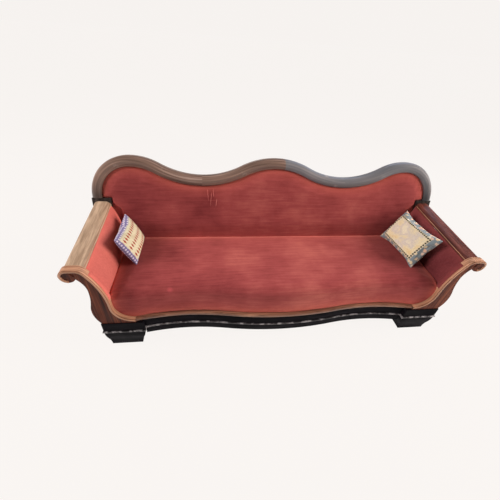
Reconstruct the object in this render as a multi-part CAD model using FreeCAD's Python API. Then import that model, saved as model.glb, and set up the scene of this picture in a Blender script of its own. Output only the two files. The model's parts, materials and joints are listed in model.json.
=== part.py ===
import FreeCAD, Part
import math
import os

V = FreeCAD.Vector
UP = V(0, 0, 1)

# Driving dimensions in millimetres and degrees. X runs along the settee, -Y is the front, Z is up.

# Overall depth, from the nose of the front cap to the rear of the crest
DEPTH = 730.0

# Back, measured in its own raked plane: height runs up the rake from the line where the seat meets it
SEAT_LINE_Z = 410.0
BACK_RAKE = 14.4
CENTRE_PEAK = 479.0
CENTRE_RADIUS = 460.0
DIP_X = 467.0
DIP_HEIGHT = 368.0
END_PEAK_X = 895.0
END_PEAK = 476.0
CREST_END_X = 1105.0
CREST_WIDTH = 62.0
CREST_BULGE = 20.0
CREST_EDGE_BACK = 6.0
CREST_INNER_LIP = 10.0
END_BLOCK_INNER_X = 1022.0
END_BLOCK_TOP = 256.0
END_BLOCK_BOTTOM = 110.0
BACK_BOTTOM = -150.0
BACK_COVER_FRONT = 10.0
BACK_STUFFING = 24.0
BACK_FRAME = 24.0
OUTER_COVER = 2.0
BACK_RAIL_HEIGHT = 40.0
BACK_UPRIGHT_WIDTH = 50.0
CROSS_RAIL_TOP = 300.0
POST_INNER_X = 1010.0
POST_WIDTH = 60.0
LEG_FOOT_DEPTH = 46.0
LEG_SPLAY = 52.0
DOWEL_RADIUS = 6.0
DOWEL_LENGTH = 70.0

# Serpentine front, as a plan curve of tangent arcs
HOLLOW_X = 565.0
HOLLOW_DEPTH = 47.0
HOLLOW_RADIUS = 1354.0
RAIL_BOTTOM = 80.0
RAIL_THICKNESS = 28.0
RAIL_SETBACK = 12.0
CAP_BOTTOM = 206.0
CAP_HEIGHT = 25.0
CAP_DEPTH = 34.0
CAP_NOSE = 11.0
BEAD_BOTTOM = 130.0
BEAD_HEIGHT = 12.0
BEAD_PROUD = 6.0

# Front feet
FOOT_INNER_X = 808.0
FOOT_OUTER_X = 1033.0
FOOT_SETBACK = 10.0
FOOT_DEPTH = 100.0
FOOT_TAPER_IN = 33.0
FOOT_TAPER_OUT = 16.0
FOOT_TAPER_FRONT = 18.0

# Seat frame and upholstery
FRAME_BOTTOM = 100.0
SIDE_RAIL_INNER_X = 990.0
SIDE_RAIL_THICKNESS = 32.0
BACK_RAIL_INSET = 213.0
BACK_RAIL_THICKNESS = 28.0
BRACE_X = 300.0
BRACE_WIDTH = 40.0
BRACE_HEIGHT = 45.0
GLUE_BLOCK = 50.0
GLUE_BLOCK_HEIGHT = 60.0
CLOTH = 2.0
COVER = 3.0
WEB_WIDTH = 50.0
SPRING_TOP = 300.0
SPRING_RADIUS = 48.0
SPRING_WIRE = 2.2
SPRING_TURNS = 5
SPRING_COLUMNS = 9
SPRING_PITCH = 190.0
SPRING_ROW_PITCH = 125.0
SPRING_FRONT_INSET = 192.0
SPRING_REAR_INSET = 75.0
SEAT_TOP = 414.0
SEAT_HALF = 955.0
SEAT_SETBACK = 24.0
SEAT_ROLL = 60.0
SEAT_EDGE_ROLL = 62.0
SEAT_STRAIGHT_X = 800.0

# Arms
FACING_SETBACK = 15.0
FACING_THICKNESS = 38.0
SCROLL_X = 1100.0
SCROLL_Z = 565.0
SCROLL_RADIUS = 38.0
SHOULDER_RADIUS = 50.0
SWEEP_RADIUS = 460.0
ARM_SEAT_X = 950.0
FLARE_RADIUS = 105.0
THROAT_RADIUS = 120.0
NECK_X = 1032.0
NECK_Z = 463.0
BELLY_X = 1055.0
BELLY_Z = 304.0
BELLY_RADIUS = 180.0
ARM_RISE = 42.0
BAND_WIDTH = 13.0
BAND_PROUD = 3.0
ROLL_INSET = 8.0
PAD_INSET = 13.0
PAD_BOTTOM = 300.0
ARM_STUFFING = 10.0
OUTSIDE_INSET = 3.0
STUMP_THICKNESS = 40.0
TACK_RAIL_WIDTH = 30.0
TACK_RAIL_HEIGHT = 36.0

# Loose cushions: size, then the middle of the lower edge, along the settee and in from the rear
# of the crest, and its turn and lean
LEFT_CUSHION_WIDTH = 290.0
LEFT_CUSHION_HEIGHT = 205.0
LEFT_CUSHION_X = -850.0
LEFT_CUSHION_INSET = 329.0
LEFT_CUSHION_TURN = 90.0
LEFT_CUSHION_LEAN = 64.0
RIGHT_CUSHION_WIDTH = 380.0
RIGHT_CUSHION_HEIGHT = 255.0
RIGHT_CUSHION_X = 815.0
RIGHT_CUSHION_INSET = 375.0
RIGHT_CUSHION_TURN = -85.4
RIGHT_CUSHION_LEAN = 58.0
CUSHION_THICKNESS = 84.0
CUSHION_EDGE = 30.0

# Clearances
GAP = 0.3
DOWEL_GAP = 0.15

# Values that follow from the driving dimensions
HALF_WIDTH = CREST_WIDTH / 2
FRONT_Y = -DEPTH / 2
REAR_Y = DEPTH / 2
FOOT_FRONT_Y = FRONT_Y + FOOT_SETBACK
FACING_FRONT_Y = FRONT_Y + FACING_SETBACK
BACK_RAIL_Y = REAR_Y - BACK_RAIL_INSET
LEFT_CUSHION_Y = REAR_Y - LEFT_CUSHION_INSET
RIGHT_CUSHION_Y = REAR_Y - RIGHT_CUSHION_INSET
CAP_TOP = CAP_BOTTOM + CAP_HEIGHT
RAKE_SIN = math.sin(math.radians(BACK_RAKE))
RAKE_COS = math.cos(math.radians(BACK_RAKE))
COVER_FRONT = -BACK_COVER_FRONT
STUFFING_FRONT = COVER_FRONT + COVER
WEB_FRONT = STUFFING_FRONT + BACK_STUFFING
FRAME_FRONT = WEB_FRONT + CLOTH
FRAME_BACK = FRAME_FRONT + BACK_FRAME
CREST_TOP = CENTRE_PEAK + HALF_WIDTH
BACK_Y = REAR_Y - CREST_TOP * RAKE_SIN - FRAME_BACK * RAKE_COS
FACING_BACK_Y = FACING_FRONT_Y + FACING_THICKNESS
POST_OUTER_X = POST_INNER_X + POST_WIDTH
CREST_OUTER_X = CREST_END_X + HALF_WIDTH
SCROLL_TOP = SCROLL_Z + SCROLL_RADIUS
CAP_END_X = ARM_SEAT_X - FLARE_RADIUS


def tangent_sum(distance, rise):
    """Sum of the radii of two tangent arcs whose crests lie this far apart along and across."""
    return (distance ** 2 + rise ** 2) / (2 * rise)


DIP_RADIUS = tangent_sum(DIP_X, CENTRE_PEAK - DIP_HEIGHT) - CENTRE_RADIUS
END_RADIUS = tangent_sum(END_PEAK_X - DIP_X, END_PEAK - DIP_HEIGHT) - DIP_RADIUS
OUTER_RADIUS = CREST_END_X - END_PEAK_X
CENTRE_TURN = math.asin(DIP_X / (CENTRE_RADIUS + DIP_RADIUS))
END_TURN = math.asin((END_PEAK_X - DIP_X) / (DIP_RADIUS + END_RADIUS))
BULGE_RADIUS = tangent_sum(HOLLOW_X, HOLLOW_DEPTH) - HOLLOW_RADIUS
BULGE_TURN = math.asin(HOLLOW_X / (BULGE_RADIUS + HOLLOW_RADIUS))

# Arcs of the crest's middle line: centre, radius, and +1 for a hump or -1 for a dip
CENTRE_ARC = ((0.0, CENTRE_PEAK - CENTRE_RADIUS), CENTRE_RADIUS, 1)
DIP_ARC = ((DIP_X, DIP_HEIGHT + DIP_RADIUS), DIP_RADIUS, -1)
END_ARC = ((END_PEAK_X, END_PEAK - END_RADIUS), END_RADIUS, 1)
OUTER_ARC = ((END_PEAK_X, END_PEAK - OUTER_RADIUS), OUTER_RADIUS, 1)
QUARTER = math.pi / 2
OUTER_FOOT = END_PEAK - OUTER_RADIUS


# Helpers

def save(name, *solids):
    """Write one node, and say how many solids it holds and their volume."""
    shape = solids[0] if len(solids) == 1 else Part.makeCompound(list(solids))
    shape.exportStep("parts/" + name + ".step")
    litres = shape.Volume / 1e6
    print(f"{name}: {len(shape.Solids)} solids, {litres:.3f} litres, valid {shape.isValid()}")
    return shape


def mirrored(shape):
    return shape.mirror(V(0, 0, 0), V(1, 0, 0))


def save_pair(name, shape):
    """The right-hand piece as drawn and its mirror image on the left."""
    save("right_" + name, shape)
    save("left_" + name, mirrored(shape))


def block(x0, x1, y0, y1, z0, z1):
    return Part.makeBox(x1 - x0, y1 - y0, z1 - z0, V(x0, y0, z0))


def line(a, b):
    return Part.LineSegment(a, b).toShape()


def arc(a, b, c):
    return Part.Arc(a, b, c).toShape()


def chain(points):
    return [line(a, b) for a, b in zip(points, points[1:])]


def face(edges):
    return Part.Face(Part.Wire(Part.__sortEdges__(edges)))


def polygon(points):
    return Part.Face(Part.makePolygon(points + points[:1]))


def raked(shape):
    """Lean a piece drawn in the upright back plane to its real place."""
    leaning = shape.copy()
    leaning.rotate(V(0, 0, 0), V(1, 0, 0), -BACK_RAKE)
    leaning.translate(V(0, BACK_Y, SEAT_LINE_Z))
    return leaning


def raked_point(depth, height):
    """Front-to-back and upright place of a point given in the raked back plane."""
    y = BACK_Y + height * RAKE_SIN + depth * RAKE_COS
    z = SEAT_LINE_Z + height * RAKE_COS - depth * RAKE_SIN
    return V(0, y, z)


def behind(depth):
    """Everything from a depth in the raked back plane rearwards."""
    reach = 2 * DEPTH
    return raked(block(-2 * reach, 2 * reach, depth, depth + reach, -reach, reach))


# Crest and the outline of the back

def crest_point(arc_data, turn, offset):
    """Point of a crest arc, turned from its peak or dip, moved outwards by an offset."""
    (cx, cz), radius, sign = arc_data
    r = radius + sign * offset
    return V(cx + r * math.sin(turn), 0, cz + sign * r * math.cos(turn))


def crest_edge(arc_data, start, end, offset):
    middle = (start + end) / 2
    return arc(*[crest_point(arc_data, turn, offset) for turn in (start, middle, end)])


def back_outline(offset, low_x, bottom):
    """Closed outline under the crest, from the middle line moved by an offset."""
    half = [
        crest_edge(DIP_ARC, -CENTRE_TURN, END_TURN, offset),
        crest_edge(END_ARC, -END_TURN, 0, offset),
        crest_edge(OUTER_ARC, 0, QUARTER, offset),
    ]
    side_x = CREST_END_X + offset
    half += chain([
        V(side_x, 0, OUTER_FOOT),
        V(side_x, 0, END_BLOCK_TOP),
        V(low_x, 0, END_BLOCK_TOP),
        V(low_x, 0, bottom),
    ])
    other = [mirrored(edge) for edge in half]
    top = crest_edge(CENTRE_ARC, -CENTRE_TURN, CENTRE_TURN, offset)
    return face(half + other + [top, line(V(low_x, 0, bottom), V(-low_x, 0, bottom))])


def back_layer(front, rear, edge_gap, bottom):
    """A layer of the back between two depths, filling the space inside the crest."""
    outline = back_outline(-HALF_WIDTH - edge_gap, END_BLOCK_INNER_X - edge_gap, bottom)
    outline.translate(V(0, front, 0))
    return raked(outline.extrude(V(0, rear - front, 0)))


def crest_section(x, height):
    """Section of the moulding: flat behind, a broad bulge in front that rolls back to the top."""
    low = height - HALF_WIDTH
    high = height + HALF_WIDTH
    inner = V(x, -CREST_INNER_LIP, low)
    outer = V(x, CREST_EDGE_BACK, high)
    front = arc(inner, V(x, -CREST_BULGE, height), outer)
    rest = chain([outer, V(x, FRAME_BACK, high), V(x, FRAME_BACK, low), inner])
    return face([front] + rest)


def crest_run(arc_data, start, end):
    """A length of the moulding along one arc, between two turns from its peak or dip."""
    (cx, cz), radius, sign = arc_data
    axis = V(0, sign, 0)
    section = crest_section(cx, cz + sign * radius)
    section.rotate(V(cx, 0, cz), axis, math.degrees(start))
    return section.revolve(V(cx, 0, cz), axis, math.degrees(end - start))


def crest_dowel(radius):
    return Part.makeCylinder(
        radius,
        DOWEL_LENGTH,
        V(DIP_X - DOWEL_LENGTH / 2, FRAME_BACK / 2, DIP_HEIGHT),
        V(1, 0, 0),
    )


def end_block():
    """The dark block below the crest's end, which the arm's roll butts against."""
    return raked(block(
        END_BLOCK_INNER_X, CREST_OUTER_X, COVER_FRONT, FRAME_BACK, END_BLOCK_BOTTOM, END_BLOCK_TOP
    ))


def make_crest():
    hole = crest_dowel(DOWEL_RADIUS + DOWEL_GAP)
    half_centre = crest_run(DIP_ARC, -CENTRE_TURN, 0).cut(hole)
    centre = crest_run(CENTRE_ARC, -CENTRE_TURN, CENTRE_TURN)
    centre = centre.fuse([half_centre, mirrored(half_centre)])
    save("crest_centre", raked(centre))
    end = crest_run(DIP_ARC, 0, END_TURN).cut(hole)
    foot = crest_section(0, 0)
    foot.rotate(V(0, 0, 0), V(0, 1, 0), 90)
    foot.translate(V(CREST_END_X, 0, END_BLOCK_TOP))
    straight = foot.extrude(V(0, 0, OUTER_FOOT - END_BLOCK_TOP))
    end = end.fuse([crest_run(END_ARC, -END_TURN, 0), crest_run(OUTER_ARC, 0, QUARTER), straight])
    save("crest_right", raked(end))
    save("crest_left", mirrored(raked(end)))
    dowel = raked(crest_dowel(DOWEL_RADIUS))
    save("crest_dowels", dowel, mirrored(dowel))
    save_pair("back_end_block", end_block())


# Frame behind the back

LOWER_RAIL_BOTTOM = BACK_BOTTOM - BACK_RAIL_HEIGHT / 2
LOWER_RAIL_TOP = LOWER_RAIL_BOTTOM + BACK_RAIL_HEIGHT


def back_bar(x0, x1, z0, z1):
    return raked(block(x0, x1, FRAME_FRONT, FRAME_BACK, z0, z1))


def back_post():
    """The upright at the end of the back, which bends at the seat and runs on down as the rear leg."""
    rail_rear = BACK_RAIL_Y + BACK_RAIL_THICKNESS
    leg_front = BACK_RAIL_Y + LEG_SPLAY
    side_view = polygon([
        raked_point(FRAME_FRONT, END_BLOCK_BOTTOM),
        raked_point(FRAME_FRONT, LOWER_RAIL_BOTTOM),
        V(0, BACK_RAIL_Y, CAP_BOTTOM),
        V(0, BACK_RAIL_Y, FRAME_BOTTOM),
        V(0, leg_front, 0),
        V(0, leg_front + LEG_FOOT_DEPTH, 0),
        V(0, rail_rear, FRAME_BOTTOM),
        raked_point(FRAME_BACK, LOWER_RAIL_BOTTOM),
        raked_point(FRAME_BACK, END_BLOCK_BOTTOM),
    ])
    side_view.translate(V(POST_INNER_X, 0, 0))
    return side_view.extrude(V(POST_WIDTH, 0, 0))


def make_back_frame():
    upright_left = DIP_X - BACK_UPRIGHT_WIDTH / 2
    upright_right = DIP_X + BACK_UPRIGHT_WIDTH / 2
    save("lower_back_rail", back_bar(-POST_INNER_X, POST_INNER_X, LOWER_RAIL_BOTTOM, LOWER_RAIL_TOP))
    under_crest = DIP_HEIGHT - HALF_WIDTH - GAP
    upright = back_bar(upright_left, upright_right, LOWER_RAIL_TOP, under_crest)
    save("back_uprights", upright, mirrored(upright))
    low = CROSS_RAIL_TOP - BACK_RAIL_HEIGHT
    middle = back_bar(-upright_left, upright_left, low, CROSS_RAIL_TOP)
    inner_radius = OUTER_RADIUS - HALF_WIDTH
    rail_end = END_PEAK_X + math.sqrt(inner_radius ** 2 - (CROSS_RAIL_TOP - OUTER_FOOT) ** 2) - GAP
    side = back_bar(upright_right, rail_end, low, CROSS_RAIL_TOP)
    save("back_cross_rails", middle, side, mirrored(side))
    save_pair("back_post", back_post())


def make_back_upholstery():
    save("back_cover", back_layer(COVER_FRONT, STUFFING_FRONT, GAP, BACK_BOTTOM))
    save("back_stuffing", back_layer(STUFFING_FRONT, WEB_FRONT, COVER, BACK_BOTTOM))
    straps = []
    count = int(POST_INNER_X // (2 * WEB_WIDTH))
    for i in range(-count + 1, count):
        x = i * 2 * WEB_WIDTH
        left = x - WEB_WIDTH / 2
        right = x + WEB_WIDTH / 2
        strap = block(left, right, WEB_FRONT, FRAME_FRONT, LOWER_RAIL_BOTTOM, CROSS_RAIL_TOP)
        straps.append(raked(strap))
    save("back_webbing", *straps)
    outline = back_outline(0, POST_OUTER_X, LOWER_RAIL_BOTTOM)
    outline.translate(V(0, FRAME_BACK, 0))
    save("outer_back_cover", raked(outline.extrude(V(0, OUTER_COVER, 0))))


# Serpentine front

def front_curve(setback, end_x, z):
    """Edges of the front curve moved back by a setback, from -end_x to end_x."""
    bulge_centre = V(0, FRONT_Y + BULGE_RADIUS, z)
    hollow_centre = V(HOLLOW_X, FRONT_Y + HOLLOW_DEPTH - HOLLOW_RADIUS, z)
    bulge_r = BULGE_RADIUS - setback
    hollow_r = HOLLOW_RADIUS + setback

    def on_bulge(turn):
        return bulge_centre + V(bulge_r * math.sin(turn), -bulge_r * math.cos(turn), 0)

    def on_hollow(turn):
        return hollow_centre + V(hollow_r * math.sin(turn), hollow_r * math.cos(turn), 0)

    end_turn = math.asin((end_x - HOLLOW_X) / hollow_r)
    middle_turn = (end_turn - BULGE_TURN) / 2
    right = arc(on_hollow(-BULGE_TURN), on_hollow(middle_turn), on_hollow(end_turn))
    centre = arc(on_bulge(-BULGE_TURN), on_bulge(0), on_bulge(BULGE_TURN))
    return [mirrored(right), centre, right], on_hollow(end_turn)


def serpentine(front, rear, end_x, z0, z1):
    """A bar that follows the front curve between two setbacks and two heights."""
    front_edges, front_end = front_curve(front, end_x, z0)
    rear_edges, rear_end = front_curve(rear, end_x, z0)
    ends = [line(front_end, rear_end)]
    ends.append(mirrored(ends[0]))
    return face(front_edges + rear_edges + ends).extrude(V(0, 0, z1 - z0))


def front_edges_at(shape, setback, end_x, z):
    """The edges of a bar that lie on the front curve at one height."""
    wanted = [edge.CenterOfMass for edge in front_curve(setback, end_x, z)[0]]
    return [e for e in shape.Edges if any((e.CenterOfMass - p).Length < GAP for p in wanted)]


def make_front_rail():
    rail_back = RAIL_SETBACK + RAIL_THICKNESS
    save("front_seat_rail", serpentine(RAIL_SETBACK, rail_back, FOOT_INNER_X, RAIL_BOTTOM, CAP_BOTTOM))
    cap = serpentine(0, CAP_DEPTH, CAP_END_X, CAP_BOTTOM, CAP_TOP)
    nose = front_edges_at(cap, 0, CAP_END_X, CAP_BOTTOM) + front_edges_at(cap, 0, CAP_END_X, CAP_TOP)
    save("front_rail_cap", cap.makeFillet(CAP_NOSE, nose))
    bead_end = FOOT_INNER_X - BEAD_PROUD
    bead_front = RAIL_SETBACK - BEAD_PROUD
    bead_top = BEAD_BOTTOM + BEAD_HEIGHT
    bead = serpentine(bead_front, RAIL_SETBACK, bead_end, BEAD_BOTTOM, bead_top)
    round_edges = front_edges_at(bead, bead_front, bead_end, BEAD_BOTTOM)
    round_edges += front_edges_at(bead, bead_front, bead_end, bead_top)
    save("front_rail_bead", bead.makeFillet(BEAD_PROUD - GAP, round_edges))


# Front feet

def ogee(top, bottom, height, place):
    """A side of the foot, from its top corner down to the floor, as two tangent arcs."""
    taper = bottom - top
    middle = place((top + bottom) / 2, height / 2)
    radius = (height ** 2 + taper ** 2) / (4 * abs(taper))
    half_turn = math.asin(height / (2 * radius)) / 2
    drop = radius * math.sin(half_turn)
    bow = math.copysign(radius * (1 - math.cos(half_turn)), taper)
    upper = arc(place(top, height), place(top + bow, height - drop), middle)
    lower = arc(middle, place(bottom - bow, drop), place(bottom, 0))
    return [upper, lower]


def make_front_feet():
    foot_top = BEAD_BOTTOM
    foot_rear = FOOT_FRONT_Y + FOOT_DEPTH

    def front_view(x, z):
        return V(x, FOOT_FRONT_Y - FOOT_DEPTH, z)

    def side_view(y, z):
        return V(FOOT_INNER_X - FOOT_DEPTH, y, z)

    inner_bottom = FOOT_INNER_X + FOOT_TAPER_IN
    outer_bottom = FOOT_OUTER_X - FOOT_TAPER_OUT
    front_bottom = FOOT_FRONT_Y + FOOT_TAPER_FRONT
    across = face(
        ogee(FOOT_INNER_X, inner_bottom, foot_top, front_view)
        + ogee(FOOT_OUTER_X, outer_bottom, foot_top, front_view)
        + [line(front_view(FOOT_INNER_X, foot_top), front_view(FOOT_OUTER_X, foot_top))]
        + [line(front_view(inner_bottom, 0), front_view(outer_bottom, 0))]
    )
    rear_line = chain([
        side_view(front_bottom, 0),
        side_view(foot_rear, 0),
        side_view(foot_rear, foot_top),
        side_view(FOOT_FRONT_Y, foot_top),
    ])
    along = face(ogee(FOOT_FRONT_Y, front_bottom, foot_top, side_view) + rear_line)
    reach = FOOT_OUTER_X - FOOT_INNER_X + 2 * FOOT_DEPTH
    foot = across.extrude(V(0, 3 * FOOT_DEPTH, 0)).common(along.extrude(V(reach, 0, 0)))
    save_pair("front_foot", foot)

    bead_top = BEAD_BOTTOM + BEAD_HEIGHT
    bead = block(
        FOOT_INNER_X - BEAD_PROUD,
        FOOT_OUTER_X + BEAD_PROUD,
        FOOT_FRONT_Y - BEAD_PROUD,
        foot_rear,
        BEAD_BOTTOM,
        bead_top,
    )
    room = serpentine(RAIL_SETBACK, RAIL_SETBACK + RAIL_THICKNESS, FOOT_INNER_X, BEAD_BOTTOM, bead_top)
    bead = bead.cut(room)
    long_edges = [e for e in bead.Edges if e.BoundBox.ZLength < GAP and is_bead_rim(e, foot_rear)]
    save_pair("foot_bead", bead.makeFillet(BEAD_PROUD - 2 * GAP, long_edges))
    save_pair(
        "corner_block",
        block(FOOT_INNER_X, FOOT_OUTER_X, FOOT_FRONT_Y, foot_rear, bead_top, CAP_BOTTOM),
    )


def is_bead_rim(edge, foot_rear):
    """True for the bead's front and outer rims, which are rounded over."""
    box = edge.BoundBox
    on_front = abs(box.YMax - (FOOT_FRONT_Y - BEAD_PROUD)) < GAP
    on_outer = abs(box.XMin - (FOOT_OUTER_X + BEAD_PROUD)) < GAP and box.YMax <= foot_rear + GAP
    return on_front or on_outer


# Seat frame

def make_seat_frame():
    rail_rear = BACK_RAIL_Y + BACK_RAIL_THICKNESS
    save(
        "back_seat_rail",
        block(-POST_INNER_X, POST_INNER_X, BACK_RAIL_Y, rail_rear, FRAME_BOTTOM, CAP_BOTTOM),
    )
    foot_rear = FOOT_FRONT_Y + FOOT_DEPTH
    side_outer = SIDE_RAIL_INNER_X + SIDE_RAIL_THICKNESS
    side = block(SIDE_RAIL_INNER_X, side_outer, foot_rear, BACK_RAIL_Y, FRAME_BOTTOM, CAP_BOTTOM)
    save_pair("side_rail", side)

    brace_bottom = CAP_BOTTOM - BRACE_HEIGHT
    brace_left = BRACE_X - BRACE_WIDTH / 2
    brace_right = BRACE_X + BRACE_WIDTH / 2
    brace = block(brace_left, brace_right, FRONT_Y, BACK_RAIL_Y, brace_bottom, CAP_BOTTOM)
    rail_space = serpentine(-DEPTH, RAIL_SETBACK + RAIL_THICKNESS, FOOT_INNER_X, brace_bottom, CAP_BOTTOM)
    brace = brace.cut(rail_space)
    save("seat_cross_braces", brace, mirrored(brace))

    low = FRAME_BOTTOM + GLUE_BLOCK_HEIGHT / 2
    x = SIDE_RAIL_INNER_X
    blocks = []
    for y, direction in ((foot_rear, 1), (BACK_RAIL_Y, -1)):
        corner = [V(x, y, low), V(x - GLUE_BLOCK, y, low), V(x, y + direction * GLUE_BLOCK, low)]
        prism = polygon(corner).extrude(V(0, 0, GLUE_BLOCK_HEIGHT))
        blocks += [prism, mirrored(prism)]
    save("corner_glue_blocks", *blocks)


# Seat upholstery

def seat_body(inset):
    """The seat's soft body, drawn in from its outside by an inset, with a rolled front edge."""
    setback = SEAT_SETBACK + inset
    half = SEAT_HALF - inset
    top = SEAT_TOP - inset
    edges, end = front_curve(setback, half, CAP_TOP)
    side = line(end, V(half, BACK_Y, CAP_TOP))
    rear = line(V(-half, BACK_Y, CAP_TOP), V(half, BACK_Y, CAP_TOP))
    body = face(edges + [side, mirrored(side), rear]).extrude(V(0, 0, top - CAP_TOP))
    body = body.makeFillet(SEAT_ROLL - inset, front_edges_at(body, setback, half, top))
    notch_y = FACING_BACK_Y + GAP + inset
    notch = block(CAP_END_X - inset, FAR_X, -DEPTH, notch_y, 0, FAR_TOP)
    return body.cut([notch, mirrored(notch)])


def seat_level(front, z0, z1, half):
    """A flat layer of the seat from a setback behind the front curve to the back."""
    edges, end = front_curve(front, SEAT_STRAIGHT_X, z0)
    side_y = FACING_BACK_Y + front
    right = chain([end, V(half, side_y, z0), V(half, BACK_Y, z0)])
    left = [mirrored(edge) for edge in right]
    rear = line(V(-half, BACK_Y, z0), V(half, BACK_Y, z0))
    return face(edges + right + left + [rear]).extrude(V(0, 0, z1 - z0))


def make_seat_upholstery(back_space):
    outside = seat_body(0)
    filling = seat_body(COVER)
    hessian_front = SEAT_SETBACK + SEAT_EDGE_ROLL
    hessian_half = SEAT_HALF - SEAT_EDGE_ROLL
    spring_room = seat_level(hessian_front, CAP_TOP, SPRING_TOP + CLOTH, hessian_half)
    save("seat_cover", outside.cut(filling).cut(back_space))
    save("seat_stuffing", filling.cut(spring_room).cut(back_space))
    hessian = seat_level(hessian_front, SPRING_TOP, SPRING_TOP + CLOTH, hessian_half)
    save("spring_hessian", hessian.cut(back_space))

    web_bottom = FRAME_BOTTOM - CLOTH
    rail_rear = BACK_RAIL_Y + BACK_RAIL_THICKNESS
    side_outer = SIDE_RAIL_INNER_X + SIDE_RAIL_THICKNESS
    rail_space = serpentine(
        -DEPTH, RAIL_SETBACK + RAIL_THICKNESS, FOOT_INNER_X, RAIL_BOTTOM, CAP_BOTTOM
    )
    straps = []
    for x in spring_columns():
        left = x - WEB_WIDTH / 2
        right = x + WEB_WIDTH / 2
        strap = block(left, right, FRONT_Y, rail_rear, web_bottom, FRAME_BOTTOM)
        straps.append(strap.cut(rail_space))
    for y in spring_rows():
        front = y - WEB_WIDTH / 2
        rear = y + WEB_WIDTH / 2
        straps.append(block(-side_outer, side_outer, front, rear, web_bottom, FRAME_BOTTOM))
    save("seat_webbing", straps[0].fuse(straps[1:]).removeSplitter())
    dust_front = FOOT_FRONT_Y + FOOT_DEPTH
    dust_half = POST_INNER_X - GAP
    dust_bottom = web_bottom - CLOTH
    dust = block(-dust_half, dust_half, dust_front, rail_rear, dust_bottom, web_bottom)
    front_half = FOOT_INNER_X - GAP
    dust_tongue = block(-front_half, front_half, FRONT_Y, dust_front, dust_bottom, web_bottom)
    save("dust_cover", dust.fuse(dust_tongue.cut(rail_space)).removeSplitter())


def coil_spring():
    """A coil of half rings, each tilted so that it starts where the last one ended."""
    height = SPRING_TOP - FRAME_BOTTOM - 2 * SPRING_WIRE
    step = height / (2 * SPRING_TURNS)
    tilt = math.degrees(math.atan2(step, 2 * SPRING_RADIUS))
    ring_radius = math.hypot(step, 2 * SPRING_RADIUS) / 2
    halves = []
    for i in range(2 * SPRING_TURNS):
        side = 1 if i % 2 == 0 else -1
        wire = Part.Wire(Part.Circle(V(side * ring_radius, 0, 0), V(0, 1, 0), SPRING_WIRE).toShape())
        half = Part.Face(wire).revolve(V(0, 0, 0), UP, 180)
        half.rotate(V(0, 0, 0), V(0, 1, 0), side * tilt)
        half.translate(V(0, 0, FRAME_BOTTOM + SPRING_WIRE + (i + 0.5) * step))
        halves.append(half)
    return halves[0].fuse(halves[1:])


def spring_rows():
    """Front-to-back places of as many rows as fit between the front curve and the back rail."""
    front = FRONT_Y + SPRING_FRONT_INSET
    rear = BACK_RAIL_Y - SPRING_REAR_INSET
    steps = math.floor(round((rear - front) / SPRING_ROW_PITCH, 6))
    middle = (front + rear) / 2
    return [middle + (row - steps / 2) * SPRING_ROW_PITCH for row in range(steps + 1)]


def spring_columns():
    return [(column - (SPRING_COLUMNS - 1) / 2) * SPRING_PITCH for column in range(SPRING_COLUMNS)]


def make_springs():
    one = coil_spring()
    springs = []
    for x in spring_columns():
        for y in spring_rows():
            spring = one.copy()
            spring.translate(V(x, y, 0))
            springs.append(spring)
    save("seat_springs", *springs)


# Arms, drawn as the front view of the right arm

SWEEP_Z = CAP_TOP + FLARE_RADIUS
SWEEP_TURN = math.asin((SCROLL_TOP - SHOULDER_RADIUS - SWEEP_Z) / (SWEEP_RADIUS - SHOULDER_RADIUS))
NECK_RADIUS = tangent_sum(NECK_Z - BELLY_Z, BELLY_X - NECK_X) - BELLY_RADIUS
NECK_TURN = math.asin((NECK_Z - BELLY_Z) / (NECK_RADIUS + BELLY_RADIUS))
SWEEP_CENTRE_X = ARM_SEAT_X + SWEEP_RADIUS
SHOULDER_X = SWEEP_CENTRE_X - SWEEP_RADIUS * math.cos(SWEEP_TURN)
SHOULDER_Z = SWEEP_Z + SWEEP_RADIUS * math.sin(SWEEP_TURN)
SWEEP_AT_NECK = SWEEP_CENTRE_X - math.sqrt(SWEEP_RADIUS ** 2 - (NECK_Z - SWEEP_Z) ** 2)
CORE_X = SWEEP_AT_NECK + PAD_INSET + COVER + ARM_STUFFING
FAR_X = SCROLL_X + 2 * SCROLL_RADIUS
FAR_TOP = SCROLL_TOP + SCROLL_RADIUS


def arm_point(x, z):
    return V(x, FACING_FRONT_Y, z)


def arm_arc(x, z, radius, start, end):
    """An arc of the front view about a centre, between two turns from +X."""
    turns = (start, (start + end) / 2, end)
    return arc(*[arm_point(x + radius * math.cos(t), z + radius * math.sin(t)) for t in turns])


def throat(inset):
    """Where the scroll, drawn in by an inset, runs into the hollow under it."""
    near = SCROLL_RADIUS - inset
    far = THROAT_RADIUS + inset
    dx = NECK_X + THROAT_RADIUS - SCROLL_X
    dz = NECK_Z - SCROLL_Z
    apart = math.hypot(dx, dz)
    along = (near ** 2 - far ** 2 + apart ** 2) / (2 * apart)
    aside = math.sqrt(near ** 2 - along ** 2)
    x = SCROLL_X + (along * dx + aside * dz) / apart
    z = SCROLL_Z + (along * dz - aside * dx) / apart
    return x, z


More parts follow.
